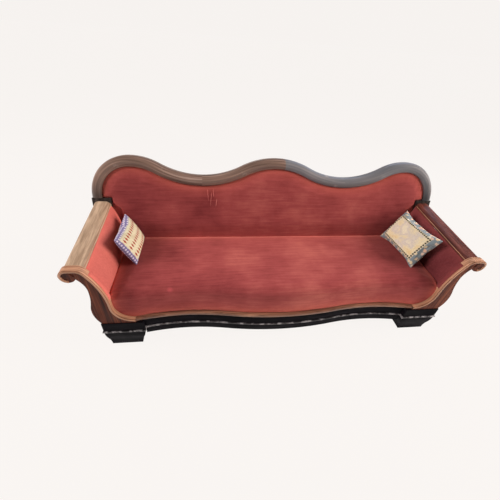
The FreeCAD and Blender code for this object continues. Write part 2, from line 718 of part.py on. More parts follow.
def arm_outline(inset, drop=0):
    """The S-scroll drawn in by an inset: flare, sweep, shoulder, scroll, throat, neck and belly.

    A drop carries both sides straight on below the foot of the facing.
    """
    flare_x = ARM_SEAT_X - FLARE_RADIUS
    flare = arm_arc(flare_x, SWEEP_Z, FLARE_RADIUS + inset, -QUARTER, 0)
    sweep_end = math.pi - SWEEP_TURN
    sweep = arm_arc(SWEEP_CENTRE_X, SWEEP_Z, SWEEP_RADIUS - inset, math.pi, sweep_end)
    centre_x = SHOULDER_X + SHOULDER_RADIUS * math.cos(SWEEP_TURN)
    shoulder = arm_arc(centre_x, SCROLL_TOP - SHOULDER_RADIUS, SHOULDER_RADIUS - inset, sweep_end, QUARTER)
    top = line(arm_point(centre_x, SCROLL_TOP - inset), arm_point(SCROLL_X, SCROLL_TOP - inset))
    throat_x, throat_z = throat(inset)
    throat_turn = math.atan2(throat_z - SCROLL_Z, throat_x - SCROLL_X)
    scroll = arm_arc(SCROLL_X, SCROLL_Z, SCROLL_RADIUS - inset, QUARTER, throat_turn)
    hollow_x = NECK_X + THROAT_RADIUS
    hollow_turn = math.atan2(throat_z - NECK_Z, throat_x - hollow_x)
    hollow = arm_arc(hollow_x, NECK_Z, THROAT_RADIUS + inset, hollow_turn, math.pi)
    neck_end = math.pi + NECK_TURN
    neck = arm_arc(NECK_X + NECK_RADIUS, NECK_Z, NECK_RADIUS + inset, math.pi, neck_end)
    belly_x = BELLY_X - BELLY_RADIUS
    belly_r = BELLY_RADIUS - inset
    foot_turn = -math.asin((BELLY_Z - CAP_BOTTOM) / belly_r)
    belly = arm_arc(belly_x, BELLY_Z, belly_r, NECK_TURN, foot_turn)
    foot_x = belly_x + belly_r * math.cos(foot_turn)
    corners = [(foot_x, CAP_BOTTOM), (flare_x, CAP_BOTTOM)]
    if drop:
        corners[1:1] = [(foot_x, CAP_BOTTOM - drop), (flare_x, CAP_BOTTOM - drop)]
    foot = chain([arm_point(x, z) for x, z in corners + [(flare_x, CAP_TOP - inset)]])
    return face([flare, sweep, shoulder, top, scroll, hollow, neck, belly] + foot)


def arm_region(points):
    """A region of the front view, used to keep one side of the S."""
    return polygon([arm_point(x, z) for x, z in points])


def arm_middle():
    """Line down the middle of the S, from beyond the scroll to below the foot."""
    throat_x, throat_z = throat(0)
    return [
        (FAR_X, SCROLL_Z),
        (SCROLL_X, SCROLL_Z),
        ((throat_x + SHOULDER_X) / 2, (throat_z + SHOULDER_Z) / 2),
        (CORE_X, NECK_Z),
        (CORE_X, RAIL_BOTTOM),
    ]


def inner_region():
    side = [(FOOT_INNER_X, RAIL_BOTTOM), (FOOT_INNER_X, FAR_TOP), (FAR_X, FAR_TOP)]
    return arm_region(arm_middle() + side)


def outer_region():
    return arm_region(arm_middle() + [(FAR_X, RAIL_BOTTOM)])


def above(z):
    return arm_region([(FOOT_INNER_X, z), (FAR_X, z), (FAR_X, FAR_TOP), (FOOT_INNER_X, FAR_TOP)])


def roll_region():
    """Above the line from the inner edge of the roll to the throat under the scroll."""
    throat_x, throat_z = throat(0)
    dx = throat_x - SHOULDER_X
    dz = throat_z - SHOULDER_Z
    return arm_region([
        (SHOULDER_X - 2 * dx, SHOULDER_Z - 2 * dz),
        (throat_x + 2 * dx, throat_z + 2 * dz),
        (FAR_X, FAR_TOP),
        (SHOULDER_X - 2 * dx, FAR_TOP),
    ])


def arm_sweep(section, start_y, length):
    """Push a section back along the arm, which rises towards the back."""
    slope = ARM_RISE / (BACK_Y - FACING_BACK_Y)
    placed = section.copy()
    placed.translate(V(0, start_y - FACING_FRONT_Y, (start_y - FACING_BACK_Y) * slope))
    return placed.extrude(V(0, length, length * slope))


def largest(shape):
    return max(shape.Solids, key=lambda solid: solid.Volume)


def make_arm_front():
    outline = arm_outline(0)
    below_cap = arm_region([
        (CAP_END_X, CAP_BOTTOM - BAND_WIDTH),
        (FAR_X, CAP_BOTTOM - BAND_WIDTH),
        (FAR_X, CAP_TOP - BAND_WIDTH),
        (CAP_END_X, CAP_TOP - BAND_WIDTH),
    ])
    band_face = outline.cut(arm_outline(BAND_WIDTH)).common(inner_region()).cut(below_cap)
    band = band_face.extrude(V(0, FACING_THICKNESS + BAND_PROUD, 0))
    band.translate(V(0, -BAND_PROUD, 0))
    save_pair("arm_edge_band", largest(band))
    facing = outline.cut(band_face).extrude(V(0, FACING_THICKNESS, 0))
    save_pair("arm_facing", largest(facing))


def make_arm_upholstery(back_space):
    def to_back(section):
        return largest(arm_sweep(section, FACING_BACK_Y, DEPTH).cut(back_space))

    save_pair("arm_roll", to_back(arm_outline(ROLL_INSET).common(roll_region())))
    inside = arm_outline(PAD_INSET + COVER)
    pad = arm_outline(PAD_INSET).common(inner_region()).cut(roll_region()).common(above(PAD_BOTTOM))
    save_pair("arm_cover", to_back(pad.cut(inside)))
    save_pair("arm_stuffing", to_back(pad.common(inside)))
    shell = arm_outline(OUTSIDE_INSET, ARM_RISE).cut(arm_outline(OUTSIDE_INSET + COVER, ARM_RISE))
    shell = shell.common(outer_region()).cut(roll_region())
    floor_space = block(0, FAR_X, -DEPTH, DEPTH, 0, CAP_BOTTOM)
    outside = arm_sweep(shell, FACING_BACK_Y, DEPTH)
    outside = outside.cut([behind(FRAME_FRONT), floor_space, end_block(), back_post()])
    save_pair("arm_outside_cover", largest(outside))
    tack_face = arm_region([
        (CORE_X - TACK_RAIL_WIDTH, PAD_BOTTOM - TACK_RAIL_HEIGHT),
        (CORE_X, PAD_BOTTOM - TACK_RAIL_HEIGHT),
        (CORE_X, PAD_BOTTOM),
        (CORE_X - TACK_RAIL_WIDTH, PAD_BOTTOM),
    ])
    save_pair("arm_tack_rail", to_back(tack_face))


def make_arm_stumps():
    outer_x = NECK_X - PAD_INSET - COVER
    stumps = []
    for y in (FACING_BACK_Y, BACK_RAIL_Y - 2 * STUMP_THICKNESS):
        stumps.append(block(CORE_X, outer_x, y, y + STUMP_THICKNESS, CAP_BOTTOM, NECK_Z))
    save("right_arm_stumps", *stumps)
    save("left_arm_stumps", *[mirrored(stump) for stump in stumps])


# Loose cushions

def cushion(width, height, inset):
    """A soft block standing on its lower edge, thin side along Y, drawn in by an inset."""
    w = width - 2 * inset
    h = height - 2 * inset
    t = CUSHION_THICKNESS - 2 * inset
    body = block(-w / 2, w / 2, -t / 2, t / 2, inset, inset + h)
    return body.makeFillet(CUSHION_EDGE - inset, body.Edges)


def make_cushion(name, width, height, x, y, turn, lean):
    """Lean the cushion back by its lean, turn it to face the middle, and rest it on the seat."""
    outside = cushion(width, height, 0)
    inside = cushion(width, height, COVER)
    parts = [outside.cut(inside), inside]
    for part in parts:
        part.rotate(V(0, 0, 0), V(1, 0, 0), lean - 90)
        part.rotate(V(0, 0, 0), UP, turn)
    drop = SEAT_TOP + GAP - outside_bottom(outside, lean)
    for part in parts:
        part.translate(V(x, y, drop))
    save(name + "_cover", parts[0])
    save(name + "_filling", parts[1])


def outside_bottom(outside, lean):
    leaning = outside.copy()
    leaning.rotate(V(0, 0, 0), V(1, 0, 0), lean - 90)
    return leaning.optimalBoundingBox().ZMin


def main():
    os.makedirs("parts", exist_ok=True)
    back_space = behind(COVER_FRONT)
    make_crest()
    make_back_frame()
    make_back_upholstery()
    make_front_rail()
    make_front_feet()
    make_seat_frame()
    make_seat_upholstery(back_space)
    make_springs()
    make_arm_front()
    make_arm_upholstery(back_space)
    make_arm_stumps()
    make_cushion(
        "left_cushion",
        LEFT_CUSHION_WIDTH,
        LEFT_CUSHION_HEIGHT,
        LEFT_CUSHION_X,
        LEFT_CUSHION_Y,
        LEFT_CUSHION_TURN,
        LEFT_CUSHION_LEAN,
    )
    make_cushion(
        "right_cushion",
        RIGHT_CUSHION_WIDTH,
        RIGHT_CUSHION_HEIGHT,
        RIGHT_CUSHION_X,
        RIGHT_CUSHION_Y,
        RIGHT_CUSHION_TURN,
        RIGHT_CUSHION_LEAN,
    )


main()
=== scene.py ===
import json
import math

import bmesh
import bpy
from mathutils import Matrix, Vector, kdtree, noise


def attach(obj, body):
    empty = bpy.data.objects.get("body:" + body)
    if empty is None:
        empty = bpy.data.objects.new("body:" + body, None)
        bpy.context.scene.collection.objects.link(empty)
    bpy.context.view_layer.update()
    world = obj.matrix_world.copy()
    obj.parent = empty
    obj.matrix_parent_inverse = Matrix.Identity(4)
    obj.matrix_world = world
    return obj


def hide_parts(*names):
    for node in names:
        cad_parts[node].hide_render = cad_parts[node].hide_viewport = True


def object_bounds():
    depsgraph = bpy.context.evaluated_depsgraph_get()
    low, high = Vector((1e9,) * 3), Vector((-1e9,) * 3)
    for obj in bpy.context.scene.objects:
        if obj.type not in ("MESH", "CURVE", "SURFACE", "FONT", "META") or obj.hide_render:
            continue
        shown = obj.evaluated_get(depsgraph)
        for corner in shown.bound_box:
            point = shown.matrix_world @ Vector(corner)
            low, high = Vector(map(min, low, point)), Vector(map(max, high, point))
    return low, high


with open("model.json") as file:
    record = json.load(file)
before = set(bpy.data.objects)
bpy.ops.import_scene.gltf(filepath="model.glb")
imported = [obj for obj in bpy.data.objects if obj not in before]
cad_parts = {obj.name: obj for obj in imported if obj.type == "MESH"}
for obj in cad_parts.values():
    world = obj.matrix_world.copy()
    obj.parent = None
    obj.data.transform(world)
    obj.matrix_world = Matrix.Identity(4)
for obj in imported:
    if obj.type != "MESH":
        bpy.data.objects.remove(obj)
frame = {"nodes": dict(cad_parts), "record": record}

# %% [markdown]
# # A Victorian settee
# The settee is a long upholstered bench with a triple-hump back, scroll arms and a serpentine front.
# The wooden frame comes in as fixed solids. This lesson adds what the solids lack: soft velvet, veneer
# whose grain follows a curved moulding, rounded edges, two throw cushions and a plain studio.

nodes = frame["nodes"]
cad_low, cad_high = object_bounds()
MM = 0.001
print("nodes", len(nodes), "box", [round(v, 3) for v in cad_high - cad_low])

# %% [markdown]
# ## Camera
# The photograph was taken standing, from a little left of the middle, looking down. A wide lens that
# close makes the near edge of the seat look longer than the back. The pose comes from matching the
# crest, the front rail and the feet to the picture, so it is given as an eye point and three turns.

# %% Camera
IMAGE = 500.0
FOCAL_PIXELS = 288.5
OPTICAL_CENTRE = (249.0, 257.5)
SENSOR = 36.0
EYE = Vector((-0.423, -1.429, 1.558))
YAW, PITCH, ROLL = (math.radians(a) for a in (9.76, 39.23, 5.15))

forward = Vector((math.sin(YAW) * math.cos(PITCH), math.cos(YAW) * math.cos(PITCH), -math.sin(PITCH)))
level_right = Vector((math.cos(YAW), -math.sin(YAW), 0))
level_up = level_right.cross(forward)
right = math.cos(ROLL) * level_right + math.sin(ROLL) * level_up
up = math.cos(ROLL) * level_up - math.sin(ROLL) * level_right

camera_data = bpy.data.cameras.new("camera")
camera_data.sensor_width = SENSOR
camera_data.lens = FOCAL_PIXELS / IMAGE * SENSOR
camera_data.shift_x = (IMAGE / 2 - OPTICAL_CENTRE[0]) / IMAGE
camera_data.shift_y = (OPTICAL_CENTRE[1] - IMAGE / 2) / IMAGE
camera = bpy.data.objects.new("camera", camera_data)
camera.matrix_world = Matrix((right, up, -forward)).transposed().to_4x4()
camera.location = EYE
bpy.context.collection.objects.link(camera)
scene = bpy.context.scene
scene.camera = camera
scene.view_settings.view_transform = "Standard"
print("lens", round(camera_data.lens, 2), "mm")

# %% [markdown]
# ## Colour and shader helpers
# Colours are easiest to read as the hex values a picture shows, but shaders want linear light. One
# function converts them, and one adds a shader node with its settings and its links.

# %% Colour and node helpers
def linear(code):
    """An sRGB hex colour as linear red, green, blue and alpha."""
    channels = [int(code[i:i + 2], 16) / 255 for i in (1, 3, 5)]
    return [c / 12.92 if c <= 0.04045 else ((c + 0.055) / 1.055) ** 2.4 for c in channels] + [1.0]


def node(tree, kind, inputs=None, **settings):
    """Add a shader node, set its properties or its ramp's stops, and fill or link its inputs.

    A node that is given as an input stands for its first output.
    """
    made = tree.nodes.new("ShaderNode" + kind)
    for i, (position, code) in enumerate(settings.pop("stops", ())):
        stop = made.color_ramp.elements[i] if i < 2 else made.color_ramp.elements.new(position)
        stop.position = position
        stop.color = linear(code)
    for key, value in settings.items():
        setattr(made, key, value)
    for key, value in (inputs or {}).items():
        value = value.outputs[0] if isinstance(value, bpy.types.Node) else value
        if isinstance(value, bpy.types.NodeSocket):
            tree.links.new(value, made.inputs[key])
        else:
            made.inputs[key].default_value = value
    return made


def blank(name):
    """A material and its tree of nodes, still empty."""
    material = bpy.data.materials.new(name)
    material.use_nodes = True
    material.node_tree.nodes.clear()
    return material, material.node_tree


print("helpers ready")

# %% [markdown]
# ## Floor and light
# The floor is a wide pale sheet that meets a sky of the same colour. To keep the paper-white of a
# catalogue picture without more light on the settee, the sheet shows most of its colour straight to the
# camera and takes only the rest from the lamps, so that the shadow stays. Of the three lamps, only the
# sky behind shows in polished wood: mirror images of the other two would be hard white streaks.

# %% Floor
PAPER = "#F9F5F2"
SHADE = "#2A2929"
STAGE_REACH = 40.0
GLOW = 0.975


def paper():
    """Pale paper: partly its own colour for camera and mirror rays, partly lit, so shadows show."""
    material, tree = blank("pale_paper_floor")
    path = node(tree, "LightPath").outputs
    seen = path["Is Camera Ray"]
    for ray in ("Is Glossy Ray", "Is Transmission Ray"):
        seen = node(tree, "Math", {0: seen, 1: path[ray]}, operation="MAXIMUM")
    glow = node(tree, "Math", {0: seen, 1: GLOW}, operation="MULTIPLY")
    dim = node(tree, "MixRGB", {"Fac": seen, "Color1": linear(PAPER), "Color2": linear(SHADE)})
    surface = node(tree, "BsdfPrincipled", {
        "Base Color": dim, "Roughness": 1.0, "Specular IOR Level": 0.0,
        "Emission Color": linear(PAPER), "Emission Strength": glow})
    node(tree, "OutputMaterial", {"Surface": surface})
    return material


def stage_sheet():
    """One wide sheet of paper under the settee."""
    mesh = bmesh.new()
    bmesh.ops.create_grid(mesh, x_segments=1, y_segments=1, size=STAGE_REACH)
    data = bpy.data.meshes.new("floor_sheet")
    mesh.to_mesh(data)
    mesh.free()
    sheet = bpy.data.objects.new("floor_sheet", data)
    sheet.data.materials.append(paper())
    bpy.context.collection.objects.link(sheet)


stage_sheet()
print("stage", STAGE_REACH, "m")

# %% Lamps
SKY_STRENGTH = 0.14


def lamp(name, place, target, size, watts, colour, mirrored):
    """A square soft box that faces a target; mirrored lets glossy surfaces show it."""
    data = bpy.data.lights.new(name, "AREA")
    data.size = size
    data.energy = watts
    data.color = linear(colour)[:3]
    obj = bpy.data.objects.new(name, data)
    obj.location = place
    obj.visible_camera = False
    obj.visible_glossy = mirrored
    obj.rotation_euler = (Vector(target) - Vector(place)).to_track_quat("-Z", "Y").to_euler()
    bpy.context.collection.objects.link(obj)


lamp("window_right", (4.6, -0.5, 2.4), (-0.9, -0.1, 0.5), 3.0, 385, "#FFF4E8", False)
lamp("room_left", (-4.6, -0.4, 3.4), (0.8, 0, 0.45), 2.4, 283, "#FFF7F0", False)
lamp("sky_back", (2.4, 2.6, 2.6), (0.4, 0.2, 0.8), 2.2, 26, "#BFD2F4", True)

world = bpy.data.worlds.new("studio")
scene.world = world
world.use_nodes = True
world.node_tree.nodes.clear()
sky = node(world.node_tree, "Background", {"Color": linear("#F4F1EE"), "Strength": SKY_STRENGTH})
seen = node(world.node_tree, "Background", {"Color": linear(PAPER), "Strength": GLOW})
view = node(world.node_tree, "LightPath").outputs["Is Camera Ray"]
sky = node(world.node_tree, "MixShader", {0: view, 1: sky, 2: seen})
node(world.node_tree, "OutputWorld", {"Surface": sky})

# %% [markdown]
# ## Velvet
# Velvet is a woven ground with a short cut pile. The pile leans, so broad patches look lighter or
# darker where it was brushed another way, and its tips catch light at grazing angles: that is sheen.
# The real pile is finer than a pixel, so it is drawn about 3 mm wide here.

# %% Velvet
PILE = 3.0 * MM
NAP_PATCH = 0.30
STREAK = 0.012
STREAK_LENGTH = 0.14
STAIN = (-0.648, -0.290, 0.394)
STAIN_SIZE = 0.020
SAT_ON = (0.18, -0.06, 0.41)
SAT_ON_REACH = 0.85
RUBBED = 0.20
STREAK_SHARE = 0.45


def velvet(name, deep, body, worn, painted_rim):
    """Brushed patches and fine streaks; the last colour is a painted highlight along the tacked edges."""
    material, tree = blank(name)
    place = node(tree, "TexCoord").outputs["Object"]
    patch = node(tree, "TexNoise",
                 {"Vector": place, "Scale": 1 / NAP_PATCH, "Detail": 4.0, "Roughness": 0.6})
    stretch = node(tree, "Mapping",
                   {"Vector": place, "Scale": (1 / STREAK_LENGTH, 1 / STREAK, 1 / STREAK)})
    streak = node(tree, "TexNoise", {"Vector": stretch, "Scale": 1.0, "Detail": 6.0})
    pile = node(tree, "TexNoise", {"Vector": place, "Scale": 1 / PILE, "Detail": 2.0})
    both = node(tree, "Math", {0: streak, 1: STREAK_SHARE, 2: patch}, operation="MULTIPLY_ADD")
    reach = node(tree, "VectorMath", {0: place, 1: SAT_ON}, operation="DISTANCE").outputs["Value"]
    rubbed = node(tree, "MapRange", {"Value": reach, "From Min": SAT_ON_REACH, "From Max": 0.0,
                                     "To Min": 0.0, "To Max": RUBBED})
    tone = node(tree, "Math", {0: both, 1: 0.58, 2: rubbed}, operation="MULTIPLY_ADD")
    colour = node(tree, "ValToRGB", {"Fac": tone}, stops=((0.30, deep), (0.50, body), (0.72, worn)))
    # A painted highlight along the tacked edges, from the edge attribute.
    edge = node(tree, "Attribute", attribute_name="edge").outputs["Fac"]
    colour = node(tree, "MixRGB", {"Fac": edge, "Color1": colour, "Color2": linear(painted_rim)})
    away = node(tree, "VectorMath", {0: place, 1: STAIN}, operation="DISTANCE").outputs["Value"]
    spot = node(tree, "MapRange", {"Value": away, "From Min": STAIN_SIZE, "From Max": 0.0, "To Max": 0.55})
    colour = node(tree, "MixRGB", {"Fac": spot, "Color1": colour, "Color2": linear("#D85E64")})
    speck = node(tree, "MixRGB", {"Fac": 0.30, "Color1": colour, "Color2": pile}, blend_type="SOFT_LIGHT")
    bump = node(tree, "Bump", {"Height": pile, "Strength": 0.3, "Distance": 1.2 * MM})
    surface = node(tree, "BsdfPrincipled", {
        "Base Color": speck, "Normal": bump, "Roughness": 0.9, "Specular IOR Level": 0.15,
        "Sheen Weight": 0.4, "Sheen Roughness": 0.45, "Sheen Tint": linear("#E79A8E")})
    node(tree, "OutputMaterial", {"Surface": surface})
    return material


# Cut pile brushed and sat on for years: matt rose red, with a paler painted highlight along its tacked
# edges.
red_velvet = velvet("faded_red_velvet", "#742E32", "#9B4849", "#C06A62", "#DD7061")
# The same cloth, painted lighter for the left arm: painted light, warm pink, with its streaks nearly gone.
painted_light_velvet = velvet("red_velvet_painted_light", "#AE5753", "#C56A62", "#D77F77", "#E5796E")
# The same cloth, painted darker for the right arm: painted shade, deep wine red.
painted_shade_velvet = velvet("red_velvet_painted_shade", "#582529", "#74363A", "#8E4646", "#8E4646")
# The outer covers, out of the sun and never sat on: between the two, with plain edges.
outer_velvet = velvet("sheltered_red_velvet", "#6A2C30", "#8A4042", "#A45352", "#A45352")
print(red_velvet.name, painted_light_velvet.name, painted_shade_velvet.name, outer_velvet.name)

# %% [markdown]
# ## Wood
# The show wood is mahogany veneer over a softer frame, darkened by old polish and rubbed pale on the
# edges. Grain is noise stretched along one direction; pores are a finer, darker copy of it. A curved
# moulding keeps its own along-and-across coordinates in an attribute, so its grain bends with it.

# %% Wood finishes
GRAIN_WIDTH = 9.0 * MM
GRAIN_LENGTH = 0.30
PORE_WIDTH = 1.6 * MM
PATCH = 0.16
PAINTED_SKY_FROM_X = 0.055
CREST_FOOT, CREST_CLEAR = 0.68, 0.80


def wood(name, dark, body, pale, along="X", grain=None, gloss=0.45, coat=0.1, shine=0.5,
         pores=0.6, worn=None, wear=0.0, sky_from_x=None, patch_size=PATCH):
    """Stretched grain, pores and rubbed patches. grain names an attribute to follow instead of an axis.

    The last argument is the place along the settee beyond which a painted blue-grey sky reflection greys
    the veneer; with it the veneer also grows darker towards the bottom.
    """
    material, tree = blank(name)
    spot = node(tree, "TexCoord").outputs["Object"]
    place = node(tree, "Attribute", attribute_name=grain).outputs["Vector"] if grain else spot
    fine = [1 / GRAIN_LENGTH if axis == along else 1 / GRAIN_WIDTH for axis in "XYZ"]
    open_pores = [2.5 / GRAIN_LENGTH if axis == along else 1 / PORE_WIDTH for axis in "XYZ"]
    figure = node(tree, "Mapping", {"Vector": place, "Scale": fine})
    figure = node(tree, "TexNoise", {"Vector": figure, "Scale": 0.55, "Detail": 6.0, "Distortion": 0.6})
    pore = node(tree, "Mapping", {"Vector": place, "Scale": open_pores})
    pore = node(tree, "TexNoise", {"Vector": pore, "Scale": 0.5, "Detail": 3.0})
    patch = node(tree, "TexNoise",
                 {"Vector": place, "Scale": 1 / patch_size, "Detail": 5.0, "Roughness": 0.62})
    colour = node(tree, "ValToRGB", {"Fac": figure}, stops=((0.34, dark), (0.52, body), (0.70, pale)))
    streaks = node(tree, "ValToRGB", {"Fac": pore}, stops=((0.36, "#6A6A6A"), (0.50, "#FFFFFF")))
    colour = node(tree, "MixRGB", {"Fac": pores, "Color1": colour, "Color2": streaks},
                  blend_type="MULTIPLY")
    # Beyond the given place, a blue-grey sky reflection is painted into the veneer.
    if sky_from_x:
        spot = node(tree, "SeparateXYZ", {0: spot}).outputs
        beyond = node(tree, "Math", {0: spot["X"], 1: sky_from_x}, operation="GREATER_THAN")
        sky_reflection = node(tree, "Math", {0: beyond, 1: 0.6}, operation="MULTIPLY")
        colour = node(tree, "MixRGB", {"Fac": sky_reflection, "Color1": colour, "Color2": linear("#6E7D8A")})
        # The crest grows darker towards its low ends, below CREST_CLEAR.
        clear = node(tree, "MapRange", {"Value": spot["Z"], "From Min": CREST_FOOT, "From Max": CREST_CLEAR,
                                        "To Min": 0.3})
        colour = node(tree, "MixRGB", {"Fac": 1.0, "Color1": colour, "Color2": clear},
                      blend_type="MULTIPLY")
    if worn:
        rubbed = node(tree, "ValToRGB", {"Fac": patch},
                      stops=((0.58 - wear, "#000000"), (0.70 - wear, "#FFFFFF")))
        colour = node(tree, "MixRGB", {"Fac": rubbed, "Color1": colour, "Color2": linear(worn)})
    rough = node(tree, "MapRange", {"Value": patch, "From Min": 0.3, "From Max": 0.7,
                                    "To Min": gloss - 0.08, "To Max": gloss + 0.16})
    bump = node(tree, "Bump", {"Height": pore, "Strength": 0.12, "Distance": 0.5 * MM})
    surface = node(tree, "BsdfPrincipled", {
        "Base Color": colour, "Roughness": rough, "Normal": bump, "IOR": 1.5,
        "Specular IOR Level": shine, "Coat Weight": coat, "Coat Roughness": 0.25})
    node(tree, "OutputMaterial", {"Surface": surface})
    return material


# Sliced veneer under old shellac: grey brown with dusty patches, a painted blue-grey sky reflection on the
# right, and a broad sheen.
crest_veneer = wood("dusty_mahogany_painted_sky", "#624F46", "#8B7064", "#B39A90", grain="grain", gloss=0.42,
                    coat=0.35, pores=0.45, worn="#AAA09B", sky_from_x=PAINTED_SKY_FROM_X)
# Roll veneer painted pale for the lit left roll: painted light, dry looking and nearly matt.
arm_veneer = wood("mahogany_painted_light", "#A08670", "#B89D86", "#D0B49B", along="Y", gloss=0.5, pores=0.25)
# Upright veneer in the shade of the arm: red brown with dark figure.
facing_veneer = wood("red_mahogany_veneer", "#3F1D16", "#683221", "#894B32", along="Z", gloss=0.5, coat=0.0,
                     shine=0.2)
# A scraped moulding waxed by use: mid brown that catches a line of light.
cap_walnut = wood("rubbed_walnut_moulding", "#6F4A3A", "#90644F", "#B4846A", gloss=0.36, coat=0.2)
# The bands that hands rub most: tan, with spots down to the bare wood.
band_walnut = wood("rubbed_walnut_band", "#996E54", "#C08E72", "#E2B092", grain="grain", gloss=0.45,
                   pores=0.4, worn="#EFE6D8", wear=-0.05)
# Stained black and left flat: grain hardly shows.
dark_mahogany = wood("ebonised_mahogany", "#0E0C11", "#141217", "#211D24", gloss=0.55, coat=0.0,
                     shine=0.05)
# A thin bead on that black, with grey patches of rubbed wear that also stand for a painted highlight along
# its top.
bead_mahogany = wood("ebonised_bead_wear_and_highlight", "#1D1A1C", "#2F2A2E", "#4E464A", gloss=0.34, coat=0.2,
                     worn="#A5A1A6", wear=0.10, patch_size=0.045)
# The blocks under the crest: dark brown, softened by dust.
block_mahogany = wood("dusty_dark_mahogany", "#28211F", "#372F2D", "#4B413E", along="Z", gloss=0.5,
                      shine=0.2)
# A darker copy of the roll veneer for the right roll: painted shade, red brown.
painted_shade_veneer = wood("mahogany_painted_shade", "#482520", "#69362D", "#894E42", along="Y", gloss=0.5, pores=0.4)
# Sawn frame wood with one coat of stain: dull brown, with its grain along each rail.
stained_poplar = {axis: wood("stained_poplar_" + axis.lower(), "#4E3A2D", "#6F5640", "#8E7058", along=axis,
                             gloss=0.6, coat=0.0, shine=0.3, pores=0.4) for axis in "XYZ"}
print("wood finishes", 9 + len(stained_poplar))

# %% [markdown]
# ## Hidden cloths and metals
# Webbing, hessian and stuffing are out of sight in use, but the settee may be looked at from below.

# %% Plain woven, hair and steel finishes
THREAD = 2.0 * MM
WAVE = 0.314  # Width of one band of a wave texture at a scale of 1


def woven(name, dark, pale, thread=THREAD):
    """Two crossed sets of threads from waves, over a little colour change."""
    material, tree = blank(name)
    place = node(tree, "TexCoord").outputs["Object"]
    warp, weft = (node(tree, "TexWave", {"Vector": place, "Scale": WAVE / thread}, bands_direction=axis)
                  for axis in "XY")
    weave = node(tree, "Math", {0: warp.outputs["Fac"], 1: weft.outputs["Fac"]}, operation="MULTIPLY")
    tint = node(tree, "TexNoise", {"Vector": place, "Scale": 25.0, "Detail": 4.0})
    mixed = node(tree, "Math", {0: weave, 1: tint}, operation="ADD")
    colour = node(tree, "ValToRGB", {"Fac": mixed}, stops=((0.3, dark), (1.0, pale)))
    bump = node(tree, "Bump", {"Height": weave, "Strength": 0.4, "Distance": 0.6 * MM})
    surface = node(tree, "BsdfPrincipled", {"Base Color": colour, "Normal": bump, "Roughness": 0.92})
    node(tree, "OutputMaterial", {"Surface": surface})
    return material


def spring_wire():
    """Drawn steel wire with a little old rust."""
    material, tree = blank("drawn_steel_wire")
    place = node(tree, "TexCoord").outputs["Object"]
    rust = node(tree, "TexNoise", {"Vector": place, "Scale": 60.0, "Detail": 5.0})
    colour = node(tree, "ValToRGB", {"Fac": rust}, stops=((0.45, "#8C8880"), (0.65, "#6B4A36")))
    surface = node(tree, "BsdfPrincipled", {"Base Color": colour, "Metallic": 0.8, "Roughness": 0.45})
    node(tree, "OutputMaterial", {"Surface": surface})
    return material


# Coarse natural webbing and hessian: straw coloured, with threads that can be counted.
jute = woven("woven_jute", "#8E734C", "#D6B37E")
# A thin dust cover: black and matt.
black_cotton = woven("thin_black_cotton", "#191919", "#353232")
# Curled hair and white wadding: dense, dull fillings.
horsehair = woven("curled_horsehair", "#292019", "#574739", thread=5 * MM)
fibre = woven("fibre_filling", "#EFECE1", "#EFEFEF", thread=5 * MM)
# Bare wire: grey metal freckled with rust.
steel = spring_wire()
print("hidden finishes", 5)

# %% [markdown]
# ## Dressing the wooden solids
# The frame's wooden pieces already have the right shape, so they keep it and only get their finish. Real
# edges are never knife sharp: a weld joins the loose triangles and a small bevel rounds each corner.

# %% Finishes and soft edges for the solids
EDGE_ROUND = 1.6 * MM
FINISH = {
    "dark_mahogany": dark_mahogany,
    "cap_walnut": cap_walnut,
    "mahogany_veneer": facing_veneer,
    "arm_veneer": arm_veneer,
    "crest_veneer": dark_mahogany,
    "frame_wood": None,
    "red_velvet": red_velvet,
    "horsehair": horsehair,
    "jute": jute,
    "black_cotton": black_cotton,
    "spring_steel": steel,
    "cushion_fibre": fibre,
    "cream_cushion": fibre,
    "needlepoint_cushion": fibre,
}
# The right roll takes the darker copy of the roll veneer, with painted shade.
OWN_FINISH = (("bead", bead_mahogany), ("edge_band", facing_veneer), ("right_arm_roll", painted_shade_veneer),
              ("end_block", block_mahogany))
ROUNDED = ("dark_mahogany", "cap_walnut", "mahogany_veneer", "arm_veneer")

for part in frame["record"]["subparts"]:
    solid = nodes[part["node"]]
    length = max(range(3), key=lambda side: solid.dimensions[side])
    finish = FINISH[part["material_slot"]] or stained_poplar["XYZ"[length]]
    for ending, other in OWN_FINISH:
        finish = other if part["node"].endswith(ending) else finish
    for slot in solid.material_slots:
        slot.material = finish
    if not solid.material_slots:
        solid.data.materials.append(finish)
    if part["material_slot"] in ROUNDED and finish is not facing_veneer:
        weld = solid.modifiers.new("weld", "WELD")
        weld.merge_threshold = 0.02 * MM
        edge = solid.modifiers.new("soft_edge", "BEVEL")
        edge.width = EDGE_ROUND
        edge.segments = 3
        edge.limit_method = "ANGLE"
        edge.angle_limit = math.radians(40)

# %% [markdown]
# ## Shapes shared by the back, the seat and the arms
# The back leans, so its crest is easiest to draw upright and then lean: x along the settee, y the depth
# behind the cover's plane, z the height up the rake. All its curves are arcs that run into each other.

# %% The leaning plane and the crest's arcs
RAKE = math.radians(14.4)
SEAT_LINE = 0.410
CREST_WIDTH = 0.062
CREST_REAR = 0.043
PEAK, PEAK_RADIUS = 0.479, 0.460
DIP_X, DIP = 0.467, 0.368
END_X, END_PEAK = 0.895, 0.476
CREST_END_X = 1.105
BLOCK_TOP = 0.256
BLOCK_INNER_X = 1.022
COVER_PLANE = -0.010
half_crest = CREST_WIDTH / 2
back_y = cad_high.y - (PEAK + half_crest) * math.sin(RAKE) - CREST_REAR * math.cos(RAKE)
LEAN = Matrix.Translation((0, back_y, SEAT_LINE)) @ Matrix.Rotation(-RAKE, 4, "X")


def tangent_sum(distance, rise):
    """Sum of the radii of two arcs that touch, from how far apart their crests lie."""
    return (distance ** 2 + rise ** 2) / (2 * rise)


